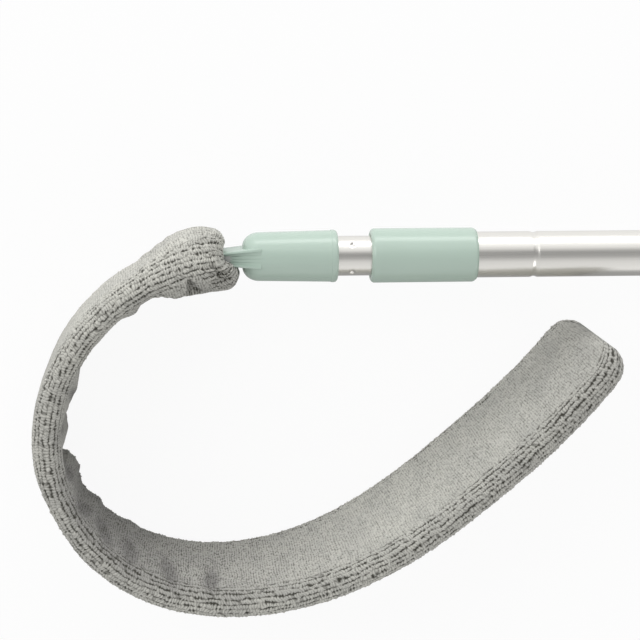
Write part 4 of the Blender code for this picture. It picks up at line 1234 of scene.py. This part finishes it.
class DUSTER_OT_grip(bpy.types.Operator):
    """Add the handle grip and the end plug with its hanging hole"""

    bl_idname = "duster.grip"
    bl_label = "Grip and end plug"

    # Grip: radius and rounding at its nose, rise behind it, and how far its waist draws in
    NOSE_RADIUS, ROUND, NOSE_FLAT, WAIST_DIP = 0.0112, 0.0010, 0.0020, 0.0008
    # End plug: where it leaves the tube, rounding of its end, and half its tab's thickness
    SHOULDER, END_ROUND, TAB_HALF, TAB_START = -0.0260, 0.0070, 0.0055, -0.0190
    # Hanging hole, how far cuts reach past the plug, and the rounding of its cut edges
    HOLE_RADIUS, HOLE_X, SPARE, EDGE_ROUND = 0.0040, -0.0105, 0.0020, 0.0006

    def execute(self, context):
        pole = context.scene.duster_pole
        sage = finish_named("moulded_polypropylene")
        radius = pole.grip_radius
        bore = pole.outer_radius + GAP
        edge = self.ROUND
        nose = GRIP_FRONT + radius
        long = GRIP_BACK - nose
        profile = [(GRIP_FRONT, bore)]
        profile += rounding(GRIP_FRONT + edge, self.NOSE_RADIUS - edge, edge, 180.0, 90.0, 7)
        for share in np.linspace(0.1, 1.0, 14):
            rise = self.NOSE_RADIUS + (radius - self.NOSE_RADIUS) * float(smooth_step(share))
            reach = (nose - GRIP_FRONT - self.NOSE_FLAT) * share
            profile.append((GRIP_FRONT + self.NOSE_FLAT + reach, rise))
        for share in np.linspace(0.0, 1.0, 25)[1:-1]:
            dip = self.WAIST_DIP * sin(pi * share)
            profile.append((nose + (long - edge) * share, radius - dip))
        profile += rounding(GRIP_BACK - edge, radius - edge, edge, 90.0, 0.0, 7)
        profile.append((GRIP_BACK, bore))
        grip = add_piece("handle_grip_moulded", spun(profile, pole.sides), sage)
        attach(grip, "pole")
        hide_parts("handle_grip")

        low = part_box("end_plug")[0].x
        spigot = pole.outer_radius - pole.outer_wall - GAP
        profile = [(low, 0.0), (low, spigot - edge), (low + edge, spigot)]
        profile += [(self.SHOULDER, spigot)]
        profile += rounding(self.SHOULDER + edge, radius - edge, edge, 180.0, 90.0, 7)
        end = self.END_ROUND
        profile += rounding(-end, radius - end, end, 90.0, 0.0, 17)
        profile.append((0.0, 0.0))
        plug = add_piece("end_plug_moulded", spun(profile, pole.sides), sage)
        side = radius + self.SPARE
        for level in (-1, 1):
            below, above = sorted((level * self.TAB_HALF, level * side))
            away = block((self.TAB_START, -side, below), (self.SPARE, side, above))
            carve(plug, away, "DIFFERENCE")
        hole = rod(self.HOLE_RADIUS, (self.HOLE_X, 0.0, -side), (self.HOLE_X, 0.0, side), 48)
        carve(plug, hole, "DIFFERENCE")
        round_edges(plug, self.EDGE_ROUND)
        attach(plug, "pole")
        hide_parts("end_plug")
        return {"FINISHED"}


class DUSTER_OT_sleeve(bpy.types.Operator):
    """Add the sleeve of looped pile, in pieces cut between the head's hinges"""

    bl_idname = "duster.sleeve"
    bl_label = "Sleeve"

    # Hollow round the core: where its rings start and stop, and its shade where it shows
    POCKET_START, POCKET_TIP_GAP, POCKET_SHADE = 0.0018, 0.0070, 0.3
    # How far inside a piece's ends the band's middle is read
    BLEND_INSET = 0.003

    def execute(self, context):
        sleeve = Sleeve(context.scene.duster_head, context.scene.duster_neck)
        points, lengths, travel, share, nap_and_painted_shade, near = sleeve.shaped()
        marks = [int(np.argmin(np.abs(lengths - cut))) for cut in sleeve.cuts()]
        marks = [0] + marks + [len(lengths) - 1]
        bodies = ["neck"] + [f"head_{n:02d}" for n in range(2, SECTIONS + 1)]
        for number, (first, last) in enumerate(zip(marks, marks[1:])):
            here = slice(first, last + 1)
            high = min(lengths[last], sleeve.head.band_length - self.POCKET_TIP_GAP)
            low = max(lengths[first], self.POCKET_START)
            inner = sleeve.pocket(np.linspace(high, low, 7 if number < 2 else 4))
            none = np.zeros(inner.shape[:2])
            along = travel[here] / MILLIMETRE
            along = np.concatenate([along, np.linspace(along[-1] + 1, along[-1] + 8, len(inner))])
            stacks = [[points[here], inner], [share[here], none + self.POCKET_SHADE],
                      [nap_and_painted_shade[here], none]]
            if number < len(marks) - 2:
                # The hollow's open end is closed back onto the first row of the pile
                for stack in stacks:
                    stack.append(stack[0][:1])
                along = np.append(along, along[-1:] + 1)
            around = near[here]
            spare = len(along) - len(around)
            around = np.concatenate([around, np.repeat(around[-1:], spare, axis=0)])
            surface = np.stack(np.broadcast_arrays(around, along[:, None]), axis=-1)
            piece = add_piece(
                f"sleeve_pile_{number + 1:02d}",
                wrapped_grid(*(np.concatenate(stack) for stack in stacks), surface),
                finish_named("looped_microfibre_pile"),
                180.0,
            )
            if number == 0:
                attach(piece, "neck")
            elif number < SECTIONS:
                inset = np.array([lengths[first] + self.BLEND_INSET,
                                  lengths[last] - self.BLEND_INSET])
                start, end = sleeve.band.at(inset)[0]
                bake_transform(piece)
            else:
                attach(piece, bodies[-1])
            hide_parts(f"sleeve_{max(number, 1):02d}")
        return {"FINISHED"}


class DUSTER_OT_hidden(bpy.types.Operator):
    """Give the pieces inside the duster their finishes"""

    bl_idname = "duster.hidden"
    bl_label = "Hidden pieces"

    FINISHES = {
        "cam_plug": "moulded_nylon",
        "guide_ring": "moulded_nylon",
        "cam_ring": "moulded_acetal",
        "core": "moulded_acetal",
        "core_rivet": "plated_steel",
    }

    def execute(self, context):
        for name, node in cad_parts.items():
            if node.hide_render:
                continue
            kind = name.rstrip("0123456789").rstrip("_")
            if kind not in self.FINISHES:
                raise RuntimeError(f"{name} has no finish")
            for slot in node.material_slots:
                slot.material = finish_named(self.FINISHES[kind])
        return {"FINISHED"}


class DUSTER_OT_stage(bpy.types.Operator):
    """Add the floor, the lamps, the surroundings and the camera"""

    bl_idname = "duster.stage"
    bl_label = "Stage"

    # The point the camera and the lamps aim at, and the floor just under the lowest pile
    TARGET = Vector((-0.5050, -0.0266, 0.0))
    FLOOR_LEVEL = -0.0272
    FLOOR_HALF = 6.0
    # Share of the floor that the camera sees as plain white. The rest keeps the shadows.
    WHITE_SHARE = 0.92
    # Each lamp: place from the target, width and power. The strip is 0.40 m high.
    LAMPS = {
        "key": ((-1.30, 0.70, 1.10), 1.2, 9.5),
        "fill": ((1.50, -1.20, 0.60), 1.2, 4.5),
        "strip": ((0.20, 1.20, 0.21), 1.6, 5.5),
    }
    STRIP_HEIGHT = 0.40
    # The camera's turn from square in degrees, and its distance
    YAW, PITCH, DISTANCE = -4.92, 8.22, 0.850
    PIXELS_PER_METRE, PICTURE_PIXELS, SENSOR = 2420.0, 640.0, 36.0

    def execute(self, context):
        scene = context.scene
        mesh_data = bmesh.new()
        bmesh.ops.create_grid(mesh_data, x_segments=1, y_segments=1, size=self.FLOOR_HALF)
        middle = (-0.4, 0.0, self.FLOOR_LEVEL)
        bmesh.ops.translate(mesh_data, verts=mesh_data.verts[:], vec=middle)
        floor = add_piece("floor", mesh_data, self.floor_material())
        self.surroundings(scene)
        for name, (place, size, power) in self.LAMPS.items():
            self.lamp(scene, name, self.TARGET + Vector(place), size, power)
        self.camera(scene)
        scene.view_settings.view_transform = "Standard"
        return {"FINISHED"}

    def floor_material(self):
        """Matt white paper. The camera sees it nearly as pure white, with the shadows kept. Bare
        metal sees a glow, dimmer on the near side of the pole: a painted reflection.
        """
        material, tree, shader = start_material("white_paper")
        values = {
            "Base Color": (0.92, 0.92, 0.92, 1.0), "Roughness": 0.9, "Specular IOR Level": 0.1,
        }
        fill(tree, shader, values)
        ray = add_node(tree, "ShaderNodeLightPath").outputs
        seen = ray["Is Camera Ray"]
        for kind in ("Is Glossy Ray", "Is Transmission Ray"):
            seen = combined(tree, "MAXIMUM", seen, ray[kind])
        way = add_node(tree, "ShaderNodeSeparateXYZ", inputs={"Vector": place_on(tree)}).outputs
        # Painted reflection: in bare metal the floor glows dimmer on one side of the pole than on
        # the other
        mirrored_floor_glow = ranged(tree, way["Y"], *FLOOR_MIRROR_GLOW, -0.03, 0.03)
        level = add_node(
            tree, "ShaderNodeMix", {"data_type": "FLOAT"},
            {0: ray["Is Glossy Ray"], 2: 1.0, 3: mirrored_floor_glow},
        )
        white = add_node(
            tree, "ShaderNodeEmission",
            inputs={"Color": (1.0, 1.0, 1.0, 1.0), "Strength": level.outputs[0]},
        )
        share = combined(tree, "MULTIPLY", seen, self.WHITE_SHARE)
        inputs = {0: share, 1: shader.outputs["BSDF"], 2: white.outputs["Emission"]}
        paper = add_node(tree, "ShaderNodeMixShader", inputs=inputs)
        tree.links.new(paper.outputs["Shader"], tree.nodes["Material Output"].inputs["Surface"])
        return material

    def surroundings(self, scene):
        """A pale room: bright panels either side, dimmer overhead. The camera sees it white."""
        world = bpy.data.worlds.new("studio")
        world.use_nodes = True
        tree = world.node_tree
        direction = add_node(tree, "ShaderNodeTexCoord").outputs["Generated"]
        way = add_node(tree, "ShaderNodeSeparateXYZ", inputs={"Vector": direction}).outputs
        across = ranged(tree, way["Y"], 0.0, 1.0, -1.0, 1.0)
        room = add_node(tree, "ShaderNodeValToRGB", inputs={"Fac": across})
        ramp = room.color_ramp
        while len(ramp.elements) < len(STUDIO_SHARES):
            ramp.elements.new(0.5)
        for element, (y, level) in zip(ramp.elements, STUDIO_SHARES):
            element.position = (y + 1) / 2
            element.color = (level, level, level, 1.0)
        ray = add_node(tree, "ShaderNodeLightPath").outputs
        strength = ranged(tree, ray["Is Camera Ray"], room.outputs["Color"], 1.0)
        values = {"Color": (1.0, 1.0, 1.0, 1.0), "Strength": strength}
        fill(tree, tree.nodes["Background"], values)
        scene.world = world

    def lamp(self, scene, name, place, size, power):
        """A soft lamp aimed at the target."""
        data = bpy.data.lights.new(name, "AREA")
        data.shape = "DISK"
        data.size = size
        data.energy = power
        if name == "strip":
            data.shape = "RECTANGLE"
            data.size_y = self.STRIP_HEIGHT
        lamp = bpy.data.objects.new(name, data)
        scene.collection.objects.link(lamp)
        lamp.location = place
        lamp.rotation_euler = (self.TARGET - place).to_track_quat("-Z", "Y").to_euler()

    def camera(self, scene):
        """The photograph's view: nearly straight down on the duster, from a little to one side."""
        yaw, pitch = radians(self.YAW), radians(self.PITCH)
        away = Vector((sin(yaw) * cos(pitch), sin(pitch), cos(pitch) * cos(yaw)))
        right = Vector((0.0, 1.0, 0.0)).cross(away).normalized()
        upward = away.cross(right)
        data = bpy.data.cameras.new("camera")
        data.sensor_width = self.SENSOR
        data.lens = self.DISTANCE * self.PIXELS_PER_METRE / self.PICTURE_PIXELS * self.SENSOR
        data.clip_end = 20.0
        camera = bpy.data.objects.new("camera", data)
        scene.collection.objects.link(camera)
        turn = Matrix((right, upward, away)).transposed().to_4x4()
        camera.matrix_world = Matrix.Translation(self.TARGET + away * self.DISTANCE) @ turn
        scene.camera = camera
        scene.camera = camera


class DUSTER_PT_panel(bpy.types.Panel):
    """Lists the duster's pieces and sizes"""

    bl_idname = "DUSTER_PT_panel"
    bl_label = "Duster"
    bl_space_type = "VIEW_3D"
    bl_region_type = "UI"
    bl_category = "Duster"

    def draw(self, context):
        layout = self.layout
        for group in ("duster_pole", "duster_neck", "duster_head", "duster_colours"):
            settings = getattr(context.scene, group)
            for name in settings.__annotations__:
                layout.prop(settings, name)
        for operator in PIECES:
            layout.operator(operator.bl_idname)


PIECES = (
    DUSTER_OT_tubes,
    DUSTER_OT_collar,
    DUSTER_OT_neck,
    DUSTER_OT_tip_plug,
    DUSTER_OT_grip,
    DUSTER_OT_elastic,
    DUSTER_OT_sleeve,
    DUSTER_OT_hidden,
    DUSTER_OT_stage,
)
GROUPS = (DusterPoleSizes, DusterNeckSizes, DusterHeadSizes, DusterColours)


def register():
    for item in GROUPS + PIECES + (DUSTER_PT_panel,):
        bpy.utils.register_class(item)
    bpy.types.Scene.duster_pole = PointerProperty(type=DusterPoleSizes)
    bpy.types.Scene.duster_neck = PointerProperty(type=DusterNeckSizes)
    bpy.types.Scene.duster_head = PointerProperty(type=DusterHeadSizes)
    bpy.types.Scene.duster_colours = PointerProperty(type=DusterColours)


def unregister():
    for name in ("duster_pole", "duster_neck", "duster_head", "duster_colours"):
        delattr(bpy.types.Scene, name)
    for item in reversed(GROUPS + PIECES + (DUSTER_PT_panel,)):
        bpy.utils.unregister_class(item)


def main():
    register()
    for operator in PIECES:
        getattr(bpy.ops.duster, operator.bl_idname.split(".")[1])()


if __name__ == "__main__":
    main()
